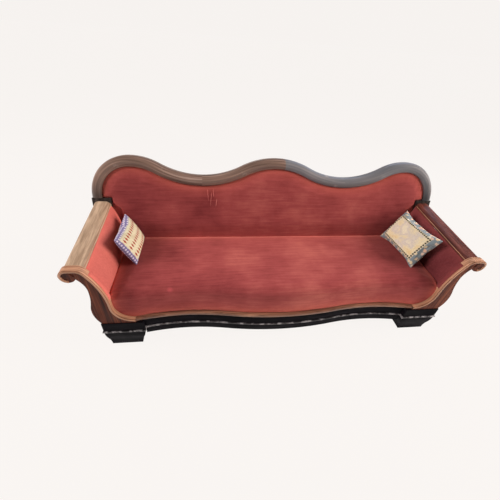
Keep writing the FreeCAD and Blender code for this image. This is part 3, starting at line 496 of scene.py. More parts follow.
DIP_RADIUS = tangent_sum(DIP_X, PEAK - DIP) - PEAK_RADIUS
END_RADIUS = tangent_sum(END_X - DIP_X, END_PEAK - DIP) - DIP_RADIUS
OUTER_RADIUS = CREST_END_X - END_X
PEAK_TURN = math.asin(DIP_X / (PEAK_RADIUS + DIP_RADIUS))
END_TURN = math.asin((END_X - DIP_X) / (DIP_RADIUS + END_RADIUS))


def under_crest(x, offset):
    """Height of the crest's middle line, moved by an offset, at a place along the settee."""
    x = abs(x)
    rise_end = (PEAK_RADIUS + offset) * math.sin(PEAK_TURN)
    dip_end = DIP_X + (DIP_RADIUS - offset) * math.sin(END_TURN)
    if x < rise_end:
        return PEAK - PEAK_RADIUS + math.sqrt((PEAK_RADIUS + offset) ** 2 - x ** 2)
    if x < dip_end:
        return DIP + DIP_RADIUS - math.sqrt((DIP_RADIUS - offset) ** 2 - (x - DIP_X) ** 2)
    if x < END_X:
        return END_PEAK - END_RADIUS + math.sqrt((END_RADIUS + offset) ** 2 - (x - END_X) ** 2)
    reach = max((OUTER_RADIUS + offset) ** 2 - (x - END_X) ** 2, 0.0)
    return END_PEAK - OUTER_RADIUS + math.sqrt(reach)


print("back plane at seat", round(back_y, 4), "dip radius", round(DIP_RADIUS, 3))

# %% [markdown]
# ## Sweeping a section
# A moulding is one section carried along a line of arcs. Spinning the section about each arc's centre in
# small steps gives just that, and each new ring can note how far along it lies, for the grain.

# %% Sweep helpers
STEP = math.radians(2.5)
SHARP = math.radians(50)
SIDES = ((-1, "left"), (1, "right"))


def finished(name, mesh, material, body, hides=()):
    """Make the bmesh an object that rides on a body and stands for the solids it hides."""
    data = bpy.data.meshes.new(name)
    mesh.to_mesh(data)
    mesh.free()
    data.polygons.foreach_set("use_smooth", [True] * len(data.polygons))
    data.set_sharp_from_angle(angle=SHARP)
    obj = bpy.data.objects.new(name, data)
    data.materials.append(material)
    bpy.context.collection.objects.link(obj)
    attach(obj, body)
    if hides:
        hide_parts(*hides)
    print(name, len(data.vertices), "points")
    return obj


def section_ring(mesh, points, grain):
    """A closed ring of edges through 3-D points, with its way round noted for the grain."""
    verts = [mesh.verts.new(p) for p in points]
    around = 0.0
    for i, vert in enumerate(verts):
        around += (Vector(points[i]) - Vector(points[i - 1])).length if i else 0.0
        vert[grain] = Vector((0.0, around, 0.0))
    return [mesh.edges.new((verts[i - 1], verts[i])) for i in range(len(verts))]


def sweep(mesh, ring, path, grain, along=0.0):
    """Carry a ring along a path of ("line", vector) and ("arc", centre, turn) and cap both ends."""
    first = list(ring)
    for kind, where, *turn in path:
        if kind == "line":
            out = bmesh.ops.extrude_edge_only(mesh, edges=ring)["geom"]
            verts = [g for g in out if isinstance(g, bmesh.types.BMVert)]
            bmesh.ops.translate(mesh, verts=verts, vec=where)
            ring = [e for e in mesh.edges if all(v in set(verts) for v in e.verts)]
            along += Vector(where).length
            for vert in verts:
                vert[grain].x = along
            continue
        steps = max(2, math.ceil(abs(turn[0]) / STEP))
        for _ in range(steps):
            middle = sum((v.co for e in ring for v in e.verts), Vector()) / (2 * len(ring))
            out = bmesh.ops.spin(mesh, geom=ring, cent=where, axis=(0, 1, 0), angle=turn[0] / steps,
                                 steps=1)
            ring = [g for g in out["geom_last"] if isinstance(g, bmesh.types.BMEdge)]
            along += (middle - Vector(where)).length * abs(turn[0]) / steps
            for vert in {v for e in ring for v in e.verts}:
                vert[grain].x = along
    for end in (first, ring):
        bmesh.ops.edgeloop_fill(mesh, edges=end)
    bmesh.ops.recalc_face_normals(mesh, faces=mesh.faces)


def bow(a, b, c, count):
    """Points along the circle through three points of a plane, from a to c."""
    (ax, ay), (bx, by), (cx, cy) = a, b, c
    d = 2 * (ax * (by - cy) + bx * (cy - ay) + cx * (ay - by))
    aa, bb, cc = ax ** 2 + ay ** 2, bx ** 2 + by ** 2, cx ** 2 + cy ** 2
    ux = (aa * (by - cy) + bb * (cy - ay) + cc * (ay - by)) / d
    uy = (aa * (cx - bx) + bb * (ax - cx) + cc * (bx - ax)) / d
    start = math.atan2(ay - uy, ax - ux)
    end = math.atan2(cy - uy, cx - ux)
    through = math.atan2(by - uy, bx - ux)
    while end < start:
        end += math.tau
    while through < start:
        through += math.tau
    if through > end:
        end -= math.tau
    radius = math.hypot(ax - ux, ay - uy)
    turns = [start + (end - start) * i / count for i in range(count + 1)]
    return [(ux + radius * math.cos(t), uy + radius * math.sin(t)) for t in turns]


print("sweep step", round(math.degrees(STEP), 1), "degrees")

# %% [markdown]
# ## Crest moulding
# The crest is a broad half-round of mahogany in three lengths that meet in the dips of the back. The
# front rolls over to the top and turns under beside the velvet, where it leaves a dark line.

# %% Crest
BULGE = -0.020
INNER_LIP = -0.010
OUTER_LIP = 0.006
UNDER = 0.010


def crest_section():
    """Outward distance from the middle line and depth, round the moulding."""
    shoulder = (half_crest - 0.005, OUTER_LIP - 0.008)
    under = bow((-half_crest, 0.0), (-half_crest + 0.001, INNER_LIP), (-half_crest + UNDER, -0.015), 5)
    front = bow(under[-1], (0.0, BULGE), shoulder, 12)
    top = bow(shoulder, (half_crest - 0.001, OUTER_LIP), (half_crest, 0.018), 5)
    rear = [(half_crest, CREST_REAR), (-half_crest, CREST_REAR)]
    return under + front[1:] + top[1:] + rear


def crest_length(name, start, heading, path, node_name):
    """One length of the moulding, swept upright from a start point and then leaned with the back."""
    mesh = bmesh.new()
    grain = mesh.verts.layers.float_vector.new("grain")
    outward = Vector((-heading[1], 0, heading[0]))
    origin = Vector((start[0], 0, start[1]))
    ring = section_ring(mesh, [origin + outward * r + Vector((0, w, 0)) for r, w in crest_section()], grain)
    sweep(mesh, ring, path, grain)
    bmesh.ops.transform(mesh, matrix=LEAN, verts=mesh.verts)
    return finished(name, mesh, crest_veneer, "settee", [node_name])


left_outer = Vector((-END_X, 0, END_PEAK - OUTER_RADIUS))
left_end = Vector((-END_X, 0, END_PEAK - END_RADIUS))
left_dip = Vector((-DIP_X, 0, DIP + DIP_RADIUS))
peak = Vector((0, 0, PEAK - PEAK_RADIUS))


def flip(point):
    """The same point on the settee's right half."""
    return Vector((-point.x, point.y, point.z))


straight = left_outer.z - BLOCK_TOP
left_path = [("line", Vector((0, 0, straight))), ("arc", left_outer, math.pi / 2),
             ("arc", left_end, END_TURN), ("arc", left_dip, -END_TURN)]
centre_path = [("arc", left_dip, -PEAK_TURN), ("arc", peak, 2 * PEAK_TURN),
               ("arc", flip(left_dip), -PEAK_TURN)]
right_path = [("arc", flip(left_dip), -END_TURN), ("arc", flip(left_end), END_TURN),
              ("arc", flip(left_outer), math.pi / 2), ("line", Vector((0, 0, -straight)))]
crest_length("crest_left_veneered", (-CREST_END_X, BLOCK_TOP), (0, 1), left_path, "crest_left")
crest_length("crest_centre_veneered", (-DIP_X, DIP), (1, 0), centre_path, "crest_centre")
crest_length("crest_right_veneered", (DIP_X, DIP), (1, 0), right_path, "crest_right")

# %% [markdown]
# ## Upholstered surfaces
# A tight cover is one sheet of velvet, tacked along its edges and pushed out by the stuffing. A grid of
# points is laid over the real shape by a small formula, and a solidify modifier gives it body behind.

# %% Sheet helpers
FRAMES = 20
PRESSURE = 4.0
PAINTED_RIM_LIGHT = 0.75
EDGE_FADE = 0.028
SHEET_CAP = 0.004


def smooth_step(low, high, value):
    """A soft switch from 0 at low to 1 at high."""
    t = min(max((value - low) / (high - low), 0.0), 1.0)
    return t * t * (3 - 2 * t)


def uneven(x, y, z, size, height):
    """A gentle, fixed unevenness of stuffing."""
    return noise.noise(Vector((x, y, z)) / size) * height


def inflate(piece, tacked, cap):
    """Blow a piece out as cloth, hold its tacked points, cap each move and keep the result."""
    group = piece.vertex_groups.new(name="tacked")
    group.add(tacked, 1.0, "REPLACE")
    cloth = piece.modifiers.new("stuffing", "CLOTH")
    cloth.settings.vertex_group_mass = group.name
    cloth.settings.use_pressure = True
    cloth.settings.uniform_pressure_force = PRESSURE
    cloth.settings.effector_weights.gravity = 0.0
    cloth.settings.bending_stiffness = 2.0
    cloth.point_cache.frame_end = FRAMES
    for step in range(1, FRAMES + 1):
        scene.frame_set(step)
    shaped = piece.evaluated_get(bpy.context.evaluated_depsgraph_get()).data
    moved = [v.co.copy() for v in shaped.vertices]
    piece.modifiers.remove(cloth)
    piece.vertex_groups.remove(group)
    scene.frame_set(1)
    for vert, place in zip(piece.data.vertices, moved):
        shift = place - vert.co
        vert.co += shift * min(1.0, cap / max(shift.length, 1e-9))


def soft_sheet(name, columns, rows, place, outward, hides, thickness, material=red_velvet):
    """A padded sheet: place(u, t) gives the point for two shares from 0 to 1."""
    mesh = bmesh.new()
    bmesh.ops.create_grid(mesh, x_segments=columns, y_segments=rows, size=0.5)
    for vert in mesh.verts:
        vert.co = place(vert.co.x + 0.5, vert.co.y + 0.5)
    mesh.normal_update()
    if sum((f.normal for f in mesh.faces), Vector()).dot(Vector(outward)) < 0:
        bmesh.ops.reverse_faces(mesh, faces=mesh.faces)
    # Each point stores how strongly the painted rim highlight shows; it fades with distance from the edge.
    edge = mesh.verts.layers.float.new("edge")
    rim = [v for v in mesh.verts if v.is_boundary]
    near = kdtree.KDTree(len(rim))
    for i, vert in enumerate(rim):
        near.insert(vert.co, i)
    near.balance()
    for vert in mesh.verts:
        vert[edge] = PAINTED_RIM_LIGHT * math.exp(-near.find(vert.co)[2] / EDGE_FADE)
    tacked = [v.index for v in rim]
    sheet = finished(name, mesh, material, "settee", hides)
    inflate(sheet, tacked, SHEET_CAP)
    body = sheet.modifiers.new("body", "SOLIDIFY")
    body.thickness = thickness
    body.offset = -1
    return sheet


print("sheet helpers ready")

# %% [markdown]
# ## Back
# The inside of the back is the largest cloth. Its stuffing crowns it, it rolls in along the crest, and it
# is drawn down behind the seat. Its upper edge asks the crest's arcs for their height, so the two meet.

# %% Back
BACK_LOW = -0.050
BACK_CROWN, CROWN_AT_END, CROWN_AT_SEAT = 0.020, 0.65, 0.35
END_DRAW = 0.05
EDGE_ROLL = 0.032
back_edge = -half_crest + 0.002
back_half = CREST_END_X + back_edge


def on_back(u, t):
    """From the seat up to the crest: crowned, rolled in along it, and drawn in below the end blocks."""
    share = 2 * u - 1
    x = back_half * math.sin(share * math.pi / 2)
    top = under_crest(x, back_edge)
    z = BACK_LOW + (top - BACK_LOW) * t
    slope = (under_crest(abs(x) + 0.002, back_edge) - under_crest(abs(x) - 0.002, back_edge)) / 0.004
    gap = min((top - z) / math.sqrt(1 + slope ** 2), back_half - abs(x) + 0.002)
    roll = 1 - math.exp(-max(gap, 0) / EDGE_ROLL * 2.2)
    middle = math.cos(x / back_half * math.pi / 2)
    crown = BACK_CROWN * roll * (CROWN_AT_END + (1 - CROWN_AT_END) * middle)
    crown *= CROWN_AT_SEAT + (1 - CROWN_AT_SEAT) * smooth_step(-0.02, 0.10, z)
    covered = smooth_step(BLOCK_INNER_X - 0.014, BLOCK_INNER_X, abs(x))
    covered *= smooth_step(BLOCK_TOP + 0.014, BLOCK_TOP, z)
    w = 0.004 - (crown + uneven(x, 0, z, 0.22, 0.003) * roll) * (1 - covered)
    x *= 1 - END_DRAW * smooth_step(BLOCK_TOP - 0.02, BLOCK_TOP - 0.08, z)
    return LEAN @ Vector((x, w, z))


back_hides = ["back_cover", "back_stuffing"]
back_cover = soft_sheet("back_velvet", 260, 70, on_back, (0, -1, 0), back_hides, 0.016)

# %% [markdown]
# ## Outer back
# The rear is one plain cloth over the frame, a little slack: a flat plate would look like board. A narrow
# strip below it closes the frame down to the seat rail, as a real cover does.

# %% Outer back and the strip below it
OUTER_HALF = 1.070
OUTER_LOW = -0.168
OUTER_CROWN = 0.003
SKIRT_HALF = 1.008
SKIRT_TOP = Vector((0, 0.1985, 0.246))
SKIRT_FOOT = Vector((0, 0.1815, 0.186))


def on_outer_back(u, t):
    """Behind the frame, from below the seat up to the middle of the crest, a little slack."""
    x = (2 * u - 1) * OUTER_HALF
    z = OUTER_LOW + (under_crest(x, 0) - 0.004 - OUTER_LOW) * t
    x *= 1 + 0.02 * smooth_step(BLOCK_TOP - 0.015, BLOCK_TOP + 0.02, z)
    slack = OUTER_CROWN * math.sin(math.pi * u) * math.sin(math.pi * t) + uneven(x, 0, z, 0.30, 0.0015)
    return LEAN @ Vector((x, CREST_REAR + 0.002 + slack, z))


def on_skirt(u, t):
    """A strip of velvet from the back rail up to the lower edge of the outer back."""
    x = (2 * u - 1) * SKIRT_HALF
    spot = SKIRT_FOOT.lerp(SKIRT_TOP, t)
    return Vector((x, spot.y + uneven(x, 0, t, 0.15, 0.001), spot.z))


outer_hides = ["outer_back_cover"]
soft_sheet("outer_back_velvet", 160, 48, on_outer_back, (0, 1, 0), outer_hides, 0.002, outer_velvet)
soft_sheet("outer_back_skirt", 120, 6, on_skirt, (0, 1, 0), (), 0.0015, outer_velvet)

# %% [markdown]
# ## Tucks
# Below the crest's left dip the velvet is pulled into a few thin folds. To fold the big sheet itself would
# take a very fine grid, so each fold is a long flat drop, half sunk where it touches the cloth.

# %% Tucks
TUCKS = ((-0.433, 0.226, 0.322, -4), (-0.415, 0.210, 0.300, 5), (-0.398, 0.240, 0.326, -3),
         (-0.381, 0.208, 0.262, 8))
TUCK_WIDTH = 1.7 * MM
TUCK_RISE = 1.4 * MM
bpy.context.view_layer.update()


def tucks():
    """Thin raised folds, each a long flat drop half sunk in the back's velvet."""
    mesh = bmesh.new()
    for x, low, high, lean in TUCKS:
        spot = back_cover.closest_point_on_mesh(LEAN @ Vector((x, -0.03, (low + high) / 2)))[1]
        shape = Matrix.Diagonal((TUCK_WIDTH, TUCK_RISE, (high - low) / 2, 1))
        tilt = Matrix.Rotation(-RAKE, 4, "X") @ Matrix.Rotation(math.radians(lean), 4, "Y")
        bmesh.ops.create_uvsphere(mesh, u_segments=8, v_segments=16, radius=1.0,
                                  matrix=Matrix.Translation(spot) @ tilt @ shape)
    return mesh


# The folds' velvet: the palest of the reds, a painted highlight on the fold ridges.
fold_highlight_velvet = velvet("red_velvet_painted_highlight", "#B96260", "#DD867F", "#EFA298", "#EFA298")
finished("back_tucks", tucks(), fold_highlight_velvet, "settee")

# %% [markdown]
# ## Seat
# The seat is a sprung block under one cloth: nearly flat, rolled over the front and tacked behind the cap
# moulding. Its front follows the rail's serpentine, so the rail's arcs are worked out here. The sheet runs
# forward, over and down in one go, without a seam at the roll.

# %% Seat
SEAT_HALF = 0.955
SEAT_TOP = 0.414
CAP_TOP = 0.231
FRONT_SETBACK = 0.017
ROLL_RADIUS = 0.055
FRONT_TUCK = 0.002
CORNER_LIP = 0.016
CREASE = 0.014
CREASE_WIDTH = 0.016
CORNER_FROM, CORNER_TO = 0.79, 0.87
SIDE_FROM, SIDE_DROP = 0.90, 0.014
SEAT_DOME, DOME_END = 0.008, 0.75
FACING_BACK = -0.312
FRONT = cad_low.y
HOLLOW_X, HOLLOW_DEPTH, HOLLOW_RADIUS = 0.565, 0.047, 1.354
bulge_radius = tangent_sum(HOLLOW_X, HOLLOW_DEPTH) - HOLLOW_RADIUS
bulge_end = HOLLOW_X * bulge_radius / (bulge_radius + HOLLOW_RADIUS)


def serpentine(x, setback):
    """Front curve of the rail moved back by a setback."""
    x = abs(x)
    if x < bulge_end:
        return FRONT + bulge_radius - math.sqrt((bulge_radius - setback) ** 2 - x ** 2)
    hollow = math.sqrt((HOLLOW_RADIUS + setback) ** 2 - (x - HOLLOW_X) ** 2)
    return FRONT + HOLLOW_DEPTH - HOLLOW_RADIUS + hollow


def on_seat(u, t):
    """From the back, forward over the top, round the front roll and down to the cap moulding."""
    x = (2 * u - 1) * SEAT_HALF
    corner = smooth_step(CORNER_FROM, CORNER_TO, abs(x))
    front = serpentine(x, FRONT_SETBACK) * (1 - corner) + (FACING_BACK - CORNER_LIP) * corner
    side = smooth_step(SIDE_FROM, SEAT_HALF, abs(x))
    dome = SEAT_DOME * (1 - (x / SEAT_HALF) ** 2) * math.sin(math.pi * min(t / DOME_END, 1.0))
    top = SEAT_TOP - SIDE_DROP * side + dome
    rear = back_y + COVER_PLANE + 0.012
    flat = rear - (front + ROLL_RADIUS)
    drop = top - ROLL_RADIUS - (CAP_TOP + 0.001)
    along = t * (flat + ROLL_RADIUS * math.pi / 2 + drop)
    if along < flat:
        y = rear - along
        z = top + uneven(x, y, 0, 0.25, 0.004) * min(1, along / 0.05)
        z -= CREASE * math.exp(-along / CREASE_WIDTH)
        return Vector((x, y, z))
    along -= flat
    if along < ROLL_RADIUS * math.pi / 2:
        turn = along / ROLL_RADIUS
        bulge = ROLL_RADIUS + uneven(x, 0, turn, 0.2, 0.003)
        y = front + ROLL_RADIUS - bulge * math.sin(turn)
        return Vector((x, y, top - ROLL_RADIUS + bulge * math.cos(turn)))
    along -= ROLL_RADIUS * math.pi / 2
    z = top - ROLL_RADIUS - along
    tuck = FRONT_TUCK * (1 - corner) * smooth_step(0.06, 0.0, z - CAP_TOP)
    return Vector((x, front + tuck + uneven(x, 0, z, 0.2, 0.003), z))


seat_hides = ["seat_cover", "seat_stuffing"]
soft_sheet("seat_velvet", 240, 90, on_seat, (0, 0, 1), seat_hides, 0.014)

# %% [markdown]
# ## Insides of the arms
# Inside each arm the velvet climbs from the seat along the hollow of the S to the wooden roll. Its front
# edge is drawn over the facing and its rear edge follows the lean of the back. The left arm's cloth is a
# lighter copy with painted light, and the right arm's a darker copy with painted shade.

# %% Insides of the arms
ARM_SEAT_X = 0.950
FLARE = 0.105
SWEEP_RADIUS = 0.460
SHOULDER = 0.050
SCROLL = Vector((1.100, 0, 0.565))
SCROLL_RADIUS = 0.038
ARM_RISE = 0.042
PAD_INSET = 0.013
sweep_z = CAP_TOP + FLARE
scroll_top = SCROLL.z + SCROLL_RADIUS
SWEEP_TURN = math.asin((scroll_top - SHOULDER - sweep_z) / (SWEEP_RADIUS - SHOULDER))
sweep_x = ARM_SEAT_X + SWEEP_RADIUS
shoulder_z = sweep_z + SWEEP_RADIUS * math.sin(SWEEP_TURN)
arm_slope = ARM_RISE / (back_y - FACING_BACK)
ARM_CROWN = 0.010
ARM_LOW = 0.345
LIP_FRONT = -0.338
LIP_RISE = 0.003
# The left arm gets the velvet copy with painted light, the right arm the copy with painted shade.
ARM_LIT_AND_SHADED_CLOTH = {"left": painted_light_velvet, "right": painted_shade_velvet}


def on_arm(side):
    """Inside of an arm, from below the seat line up to the roll, drawn forward over the facing's edge."""
    def place(u, t):
        z_front = ARM_LOW + (shoulder_z - 0.006 - ARM_LOW) * t
        lean_y = back_y + (z_front - SEAT_LINE) * math.tan(RAKE) + COVER_PLANE + 0.010
        y = LIP_FRONT + (lean_y - LIP_FRONT) * u
        lip = smooth_step(FACING_BACK + 0.012, FACING_BACK - 0.002, y)
        lip *= smooth_step(0.0, 0.2, t) * smooth_step(1.0, 0.94, t)
        radius = SWEEP_RADIUS - PAD_INSET * (1 - lip) + LIP_RISE * lip
        x = sweep_x - math.sqrt(radius ** 2 - (z_front - sweep_z) ** 2)
        z = z_front + max(y - FACING_BACK, 0.0) * arm_slope
        edge = min(u, 1 - u) * 0.5
        puff = ARM_CROWN * (1 - math.exp(-edge / 0.03)) * math.sin(math.pi * (0.12 + 0.80 * t)) * (1 - lip)
        x -= puff + uneven(side * x, y, z, 0.18, 0.003) * (1 - lip)
        return Vector((side * x, y, z))
    return place


for side, word in SIDES:
    hides = [word + "_arm_cover", word + "_arm_stuffing"]
    cloth = ARM_LIT_AND_SHADED_CLOTH[word]
    soft_sheet(word + "_arm_velvet", 80, 44, on_arm(side), (-side, 0, 0), hides, 0.012, cloth)

# %% [markdown]
# ## Outsides of the arms
# Outside, the cloth hangs from the hollow under the roll, goes in at the neck, out over the belly and down
# to the side rail. The S is three arcs that touch, and the sheet asks them how far out a height lies.

# %% Outsides of the arms
NECK = Vector((1.032, 0, 0.463))
BELLY = Vector((1.055, 0, 0.304))
BELLY_RADIUS = 0.180
THROAT_RADIUS = 0.120
OUTSIDE_INSET = 0.003
OUTSIDE_LOW = 0.206
OUTSIDE_HIGH = 0.536
OUTSIDE_CROWN = 0.003
POST_FRONT = 0.021
neck_radius = tangent_sum(NECK.z - BELLY.z, BELLY.x - NECK.x) - BELLY_RADIUS
neck_low = BELLY.z + (NECK.z - BELLY.z) * BELLY_RADIUS / (neck_radius + BELLY_RADIUS)


def outside_x(z):
    """The S of an arm's outside: the hollow under the scroll, the neck and the belly."""
    if z > NECK.z:
        hollow = THROAT_RADIUS + OUTSIDE_INSET
        return NECK.x + THROAT_RADIUS - math.sqrt(hollow ** 2 - (z - NECK.z) ** 2)
    if z > neck_low:
        return NECK.x + neck_radius - math.sqrt((neck_radius + OUTSIDE_INSET) ** 2 - (z - NECK.z) ** 2)
    z = max(z, OUTSIDE_LOW)
    return BELLY.x - BELLY_RADIUS + math.sqrt((BELLY_RADIUS - OUTSIDE_INSET) ** 2 - (z - BELLY.z) ** 2)


def on_outside(side):
    """Outside of an arm, from the side rail up to the hollow under the roll, and back to the post."""
    def place(u, t):
        level = OUTSIDE_LOW + (OUTSIDE_HIGH - OUTSIDE_LOW) * t
        rear = back_y + (level + ARM_RISE * t - SEAT_LINE) * math.tan(RAKE) + POST_FRONT
        y = FACING_BACK + 0.0005 + (rear - FACING_BACK) * u
        rise = (y - FACING_BACK) * arm_slope
        z = level + rise * t
        puff = OUTSIDE_CROWN * math.sin(math.pi * u) * math.sin(math.pi * t)
        x = outside_x(z - rise) + puff + uneven(side, y, z, 0.22, 0.0015)
        return Vector((side * x, y, z))
    return place


for side, word in SIDES:
    hides = [word + "_arm_outside_cover"]
    soft_sheet(word + "_arm_outside_velvet", 60, 40, on_outside(side), (side, 0, 0), hides, 0.003,
               outer_velvet)

# %% [markdown]
# ## Fillets
# A thin round strip hides the tacks where a roll and its velvet meet. It is a small ring of points drawn
# along a straight line, with the same sweep as the crest.

# %% Fillets
FILLET = 3.5 * MM
FILLET_SIDES = 10
fillet_x = sweep_x - math.sqrt((SWEEP_RADIUS - PAD_INSET) ** 2 - (shoulder_z - sweep_z) ** 2)


def arm_fillet(side):
    """A thin rod along the foot of the roll, rising with the arm."""
    mesh = bmesh.new()
    grain = mesh.verts.layers.float_vector.new("grain")
    middle = Vector((side * (fillet_x - FILLET / 2), FACING_BACK, shoulder_z))
    turns = [math.tau * i / FILLET_SIDES for i in range(FILLET_SIDES)]
    points = [middle + FILLET * Vector((math.cos(t), 0, math.sin(t))) for t in turns]
    ring = section_ring(mesh, points, grain)
    length = back_y + (shoulder_z - SEAT_LINE) * math.tan(RAKE) + COVER_PLANE - FACING_BACK
    sweep(mesh, ring, [("line", Vector((0, length, length * arm_slope)))], grain)
    return mesh


for side, word in SIDES:
    finished(word + "_arm_fillet", arm_fillet(side), band_walnut, "settee")

# %% [markdown]
# ## Edge band of the arms
# A rounded walnut band runs from the scroll over the shoulder and down the sweep of each arm, where it
# meets the cap moulding of the front rail. It is a sweep like the crest, upright and without a lean.

# %% Edge bands
BAND_WIDTH = 0.0145
BAND_OUT = 0.0005
BAND_FRONT = -0.356
BAND_BACK = -0.312


def band_section():
    """Outward distance from the band's outer line, and depth, with a rounded front."""
    inner = BAND_OUT - BAND_WIDTH
    nose = bow((BAND_OUT, BAND_FRONT + 0.008), (inner / 2, BAND_FRONT), (inner, BAND_FRONT + 0.005), 8)
    return nose + [(inner, BAND_BACK), (BAND_OUT, BAND_BACK)]


def arm_band(side):
    """The band's section carried up the sweep, over the shoulder and round the scroll."""
    mesh = bmesh.new()
    grain = mesh.verts.layers.float_vector.new("grain")
    start = Vector((ARM_SEAT_X - FLARE, 0, CAP_TOP))
    ring = section_ring(mesh, [start + Vector((0, w, r)) for r, w in band_section()], grain)
    shoulder_x = sweep_x - (SWEEP_RADIUS - SHOULDER) * math.cos(SWEEP_TURN)
    shoulder = Vector((shoulder_x, 0, scroll_top - SHOULDER))
    path = [
        ("arc", Vector((start.x, 0, sweep_z)), -math.pi / 2),
        ("arc", Vector((sweep_x, 0, sweep_z)), SWEEP_TURN),
        ("arc", shoulder, math.pi / 2 - SWEEP_TURN),
        ("line", Vector((SCROLL.x - shoulder_x, 0, 0))),
        ("arc", SCROLL, math.pi),
    ]
    sweep(mesh, ring, path, grain)
    if side < 0:
        bmesh.ops.scale(mesh, vec=(-1, 1, 1), verts=mesh.verts)
        bmesh.ops.reverse_faces(mesh, faces=mesh.faces)
    return mesh


for side, word in SIDES:
    finished(word + "_arm_band_rounded", arm_band(side), band_walnut, "settee")

# %% [markdown]
# ## Needlework
# Both cushions are wool stitches on canvas. The patterns are laid out in metres on the flat cloth, by the
# distance across, up and from the seam, so they bend with the cushion when it is blown up.

# %% Cushion finishes
STITCH = 3.0 * MM
OUTLINE = 0.049
OUTLINE_PITCH = 0.0157


def stitched(name):
    """A blank face with its place on the flat cloth, whole and as across, up and from the seam."""
    material, tree = blank(name)
    flat = node(tree, "Attribute", attribute_name="stitch").outputs["Vector"]
    return material, tree, flat, node(tree, "SeparateXYZ", {0: flat}).outputs


def stitches(tree, flat, colour):
    """Coarse wool: darken the colour between stitches and raise each stitch."""
    knots = node(tree, "TexVoronoi", {"Vector": flat, "Scale": 1 / STITCH, "Randomness": 0.25})
    shade = node(tree, "ValToRGB", {"Fac": knots}, stops=((0.35, "#FFFFFF"), (0.75, "#A8A29C")))
    colour = node(tree, "MixRGB", {"Fac": 0.6, "Color1": colour, "Color2": shade}, blend_type="MULTIPLY")
    bump = node(tree, "Bump", {"Height": knots, "Strength": 0.5, "Distance": 0.8 * MM}, invert=True)
    surface = node(tree, "BsdfPrincipled", {
        "Base Color": colour, "Normal": bump, "Roughness": 0.95, "Specular IOR Level": 0.1,
        "Sheen Weight": 0.15})
    node(tree, "OutputMaterial", {"Surface": surface})


def spots(tree, flat, pitch, share, metric="EUCLIDEAN"):
    """White spots on a regular grid with a pitch across and up, as a mask."""
    grid = node(tree, "VectorMath", {0: flat, 1: (*pitch, 1.0)}, operation="DIVIDE")
    cells = node(tree, "TexVoronoi", {"Vector": grid, "Scale": 1.0, "Randomness": 0.0},
                 voronoi_dimensions="2D", distance=metric)
    return node(tree, "ValToRGB", {"Fac": cells}, stops=((share, "#FFFFFF"), (share + 0.06, "#000000")))


def cream_stitchwork():
    """Cream field with rows of red diamonds, in a violet border with pale dots."""
    material, tree, flat, parts = stitched("cream_cross_stitch")
    diamonds = spots(tree, flat, (0.021, 0.051), 0.30, "MANHATTAN")
    tint = node(tree, "TexNoise", {"Vector": flat, "Scale": 14.0, "Detail": 3.0})
    field = node(tree, "ValToRGB", {"Fac": tint},
                 stops=((0.35, "#DDD6B5"), (0.55, "#E7E2C6"), (0.7, "#D8D0B0")))
    field = node(tree, "MixRGB", {"Fac": diamonds, "Color1": field, "Color2": linear("#AB4737")})
    dots = spots(tree, flat, (0.017, 0.017), 0.26)
    band = node(tree, "MixRGB", {"Fac": dots, "Color1": linear("#7F77A8"), "Color2": linear("#E4DEEF")})
    edge = node(tree, "ValToRGB", {"Fac": parts["Z"]}, stops=((0.022, "#FFFFFF"), (0.024, "#000000")))
    stitches(tree, flat, node(tree, "MixRGB", {"Fac": edge, "Color1": field, "Color2": band}))
    return material


def needlepoint():
    """Tan field inside a dotted dark outline, in a slate border with a scatter of pale blossoms."""
    material, tree, flat, parts = stitched("tan_needlepoint")
    tint = node(tree, "TexNoise", {"Vector": flat, "Scale": 11.0, "Detail": 5.0})
    field = node(tree, "ValToRGB", {"Fac": tint},
                 stops=((0.36, "#F4DCA8"), (0.46, "#F9ECC8"), (0.56, "#E6DCD2"), (0.66, "#FBF2D8")))
    sway = node(tree, "TexNoise", {"Vector": flat, "Scale": 60.0}).outputs["Color"]
    sway = node(tree, "VectorMath", {0: sway, 1: (0.016, 0.016, 0.0)}, operation="MULTIPLY")
    swayed = node(tree, "VectorMath", {0: flat, 1: sway}, operation="ADD")
    bloom = node(tree, "TexVoronoi", {"Vector": swayed, "Scale": 30.0}, voronoi_dimensions="2D")
    petals = node(tree, "ValToRGB", {"Fac": bloom}, stops=((0.22, "#FFFFFF"), (0.36, "#000000")))
    hue = node(tree, "ValToRGB", {"Fac": bloom.outputs["Color"]},
               stops=((0.3, "#F2E2BC"), (0.6, "#EDB9A4"), (0.85, "#F7EFDD")))
    border = node(tree, "MixRGB", {"Fac": petals, "Color1": linear("#8E9BA4"), "Color2": hue})
    shifted = node(tree, "VectorMath", {0: flat, 1: (0.0, OUTLINE, 0.0)}, operation="SUBTRACT")
    dots = spots(tree, shifted, (OUTLINE_PITCH, OUTLINE_PITCH), 0.34)
    dots = node(tree, "MixRGB", {"Fac": dots, "Color1": linear("#F4E8C8"), "Color2": linear("#1E181A")})
    outer = node(tree, "ValToRGB", {"Fac": parts["Z"]},
                 stops=((OUTLINE - 0.0080, "#FFFFFF"), (OUTLINE - 0.0075, "#000000")))
    inner = node(tree, "ValToRGB", {"Fac": parts["Z"]},
                 stops=((OUTLINE + 0.0075, "#FFFFFF"), (OUTLINE + 0.0080, "#000000")))
    middle = node(tree, "MixRGB", {"Fac": inner, "Color1": field, "Color2": dots})
    stitches(tree, flat, node(tree, "MixRGB", {"Fac": outer, "Color1": middle, "Color2": border}))
    return material


# Wool on canvas: matt and grainy, one pale with small red figures, one tan in a blue-grey border.
cream_cushion = cream_stitchwork()
needlepoint_cushion = needlepoint()
print(cream_cushion.name, needlepoint_cushion.name)

# %% [markdown]
# ## Throw cushions
# A throw cushion is two flat pieces of cloth sewn together round the edge and filled, so its middle
# swells while the sides pull in between the corners. It starts as a thin lens and is blown up as cloth.
# Each point notes its place on the flat cloth and its distance from the seam, for the needlework.

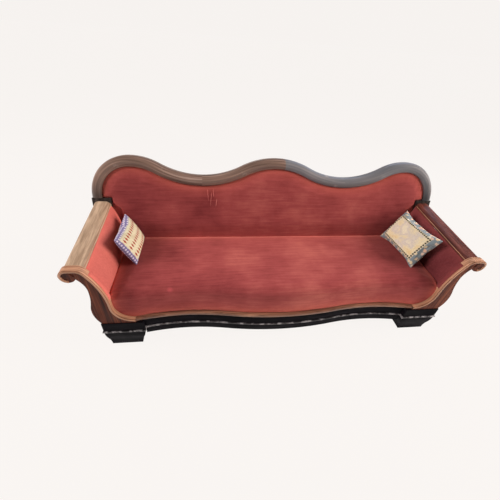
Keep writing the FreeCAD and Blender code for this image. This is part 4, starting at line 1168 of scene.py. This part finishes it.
# %% Cushions
CUSHION_CELL = 0.0065
CUSHION_LENS = 0.026
CUSHION_CAP = 0.024


def pillow(name, width, height, place, turn, lean, material):
    """Two sewn cloths, blown up, leaned back, turned and set down on the seat."""
    mesh = bmesh.new()
    stitch = mesh.verts.layers.float_vector.new("stitch")
    columns = round(width / CUSHION_CELL)
    rows = round(height / CUSHION_CELL)
    for face_side in (-1, 1):
        made = bmesh.ops.create_grid(mesh, x_segments=columns, y_segments=rows, size=0.5)["verts"]
        for vert in made:
            u, v = vert.co.x * 2, vert.co.y * 2
            lens = CUSHION_LENS * math.sqrt(max((1 - u * u) * (1 - v * v), 0.0))
            across, upward = vert.co.x * width, (vert.co.y + 0.5) * height
            edge = min(width / 2 - abs(across), height / 2 - abs(upward - height / 2))
            vert[stitch] = Vector((across, upward, edge))
            vert.co = Vector((across, face_side * lens, upward))
    bmesh.ops.remove_doubles(mesh, verts=mesh.verts, dist=0.01 * MM)
    bmesh.ops.recalc_face_normals(mesh, faces=mesh.faces)
    word = name.split("_")[0]
    hides = [word + "_cushion_cover", word + "_cushion_filling"]
    piece = finished(name, mesh, material, word + "_cushion", hides)
    inflate(piece, [], CUSHION_CAP)
    stand = Matrix.Rotation(turn, 4, "Z") @ Matrix.Rotation(lean - math.pi / 2, 4, "X")
    lowest = min((stand @ v.co).z for v in piece.data.vertices)
    piece.data.transform(Matrix.Translation((*place, SEAT_TOP - lowest)) @ stand)
    puff = piece.modifiers.new("smooth", "SUBSURF")
    puff.levels = 1
    puff.render_levels = 1
    return piece


LEFT_PLACE, LEFT_TURN, LEFT_LEAN = (-0.850, cad_high.y - 0.329), math.radians(90), math.radians(64)
RIGHT_PLACE, RIGHT_TURN, RIGHT_LEAN = (0.815, cad_high.y - 0.375), math.radians(-85.4), math.radians(58)
pillow("left_cushion_stitched", 0.290, 0.205, LEFT_PLACE, LEFT_TURN, LEFT_LEAN,
       cream_cushion)
pillow("right_cushion_stitched", 0.380, 0.255, RIGHT_PLACE, RIGHT_TURN, RIGHT_LEAN,
       needlepoint_cushion)
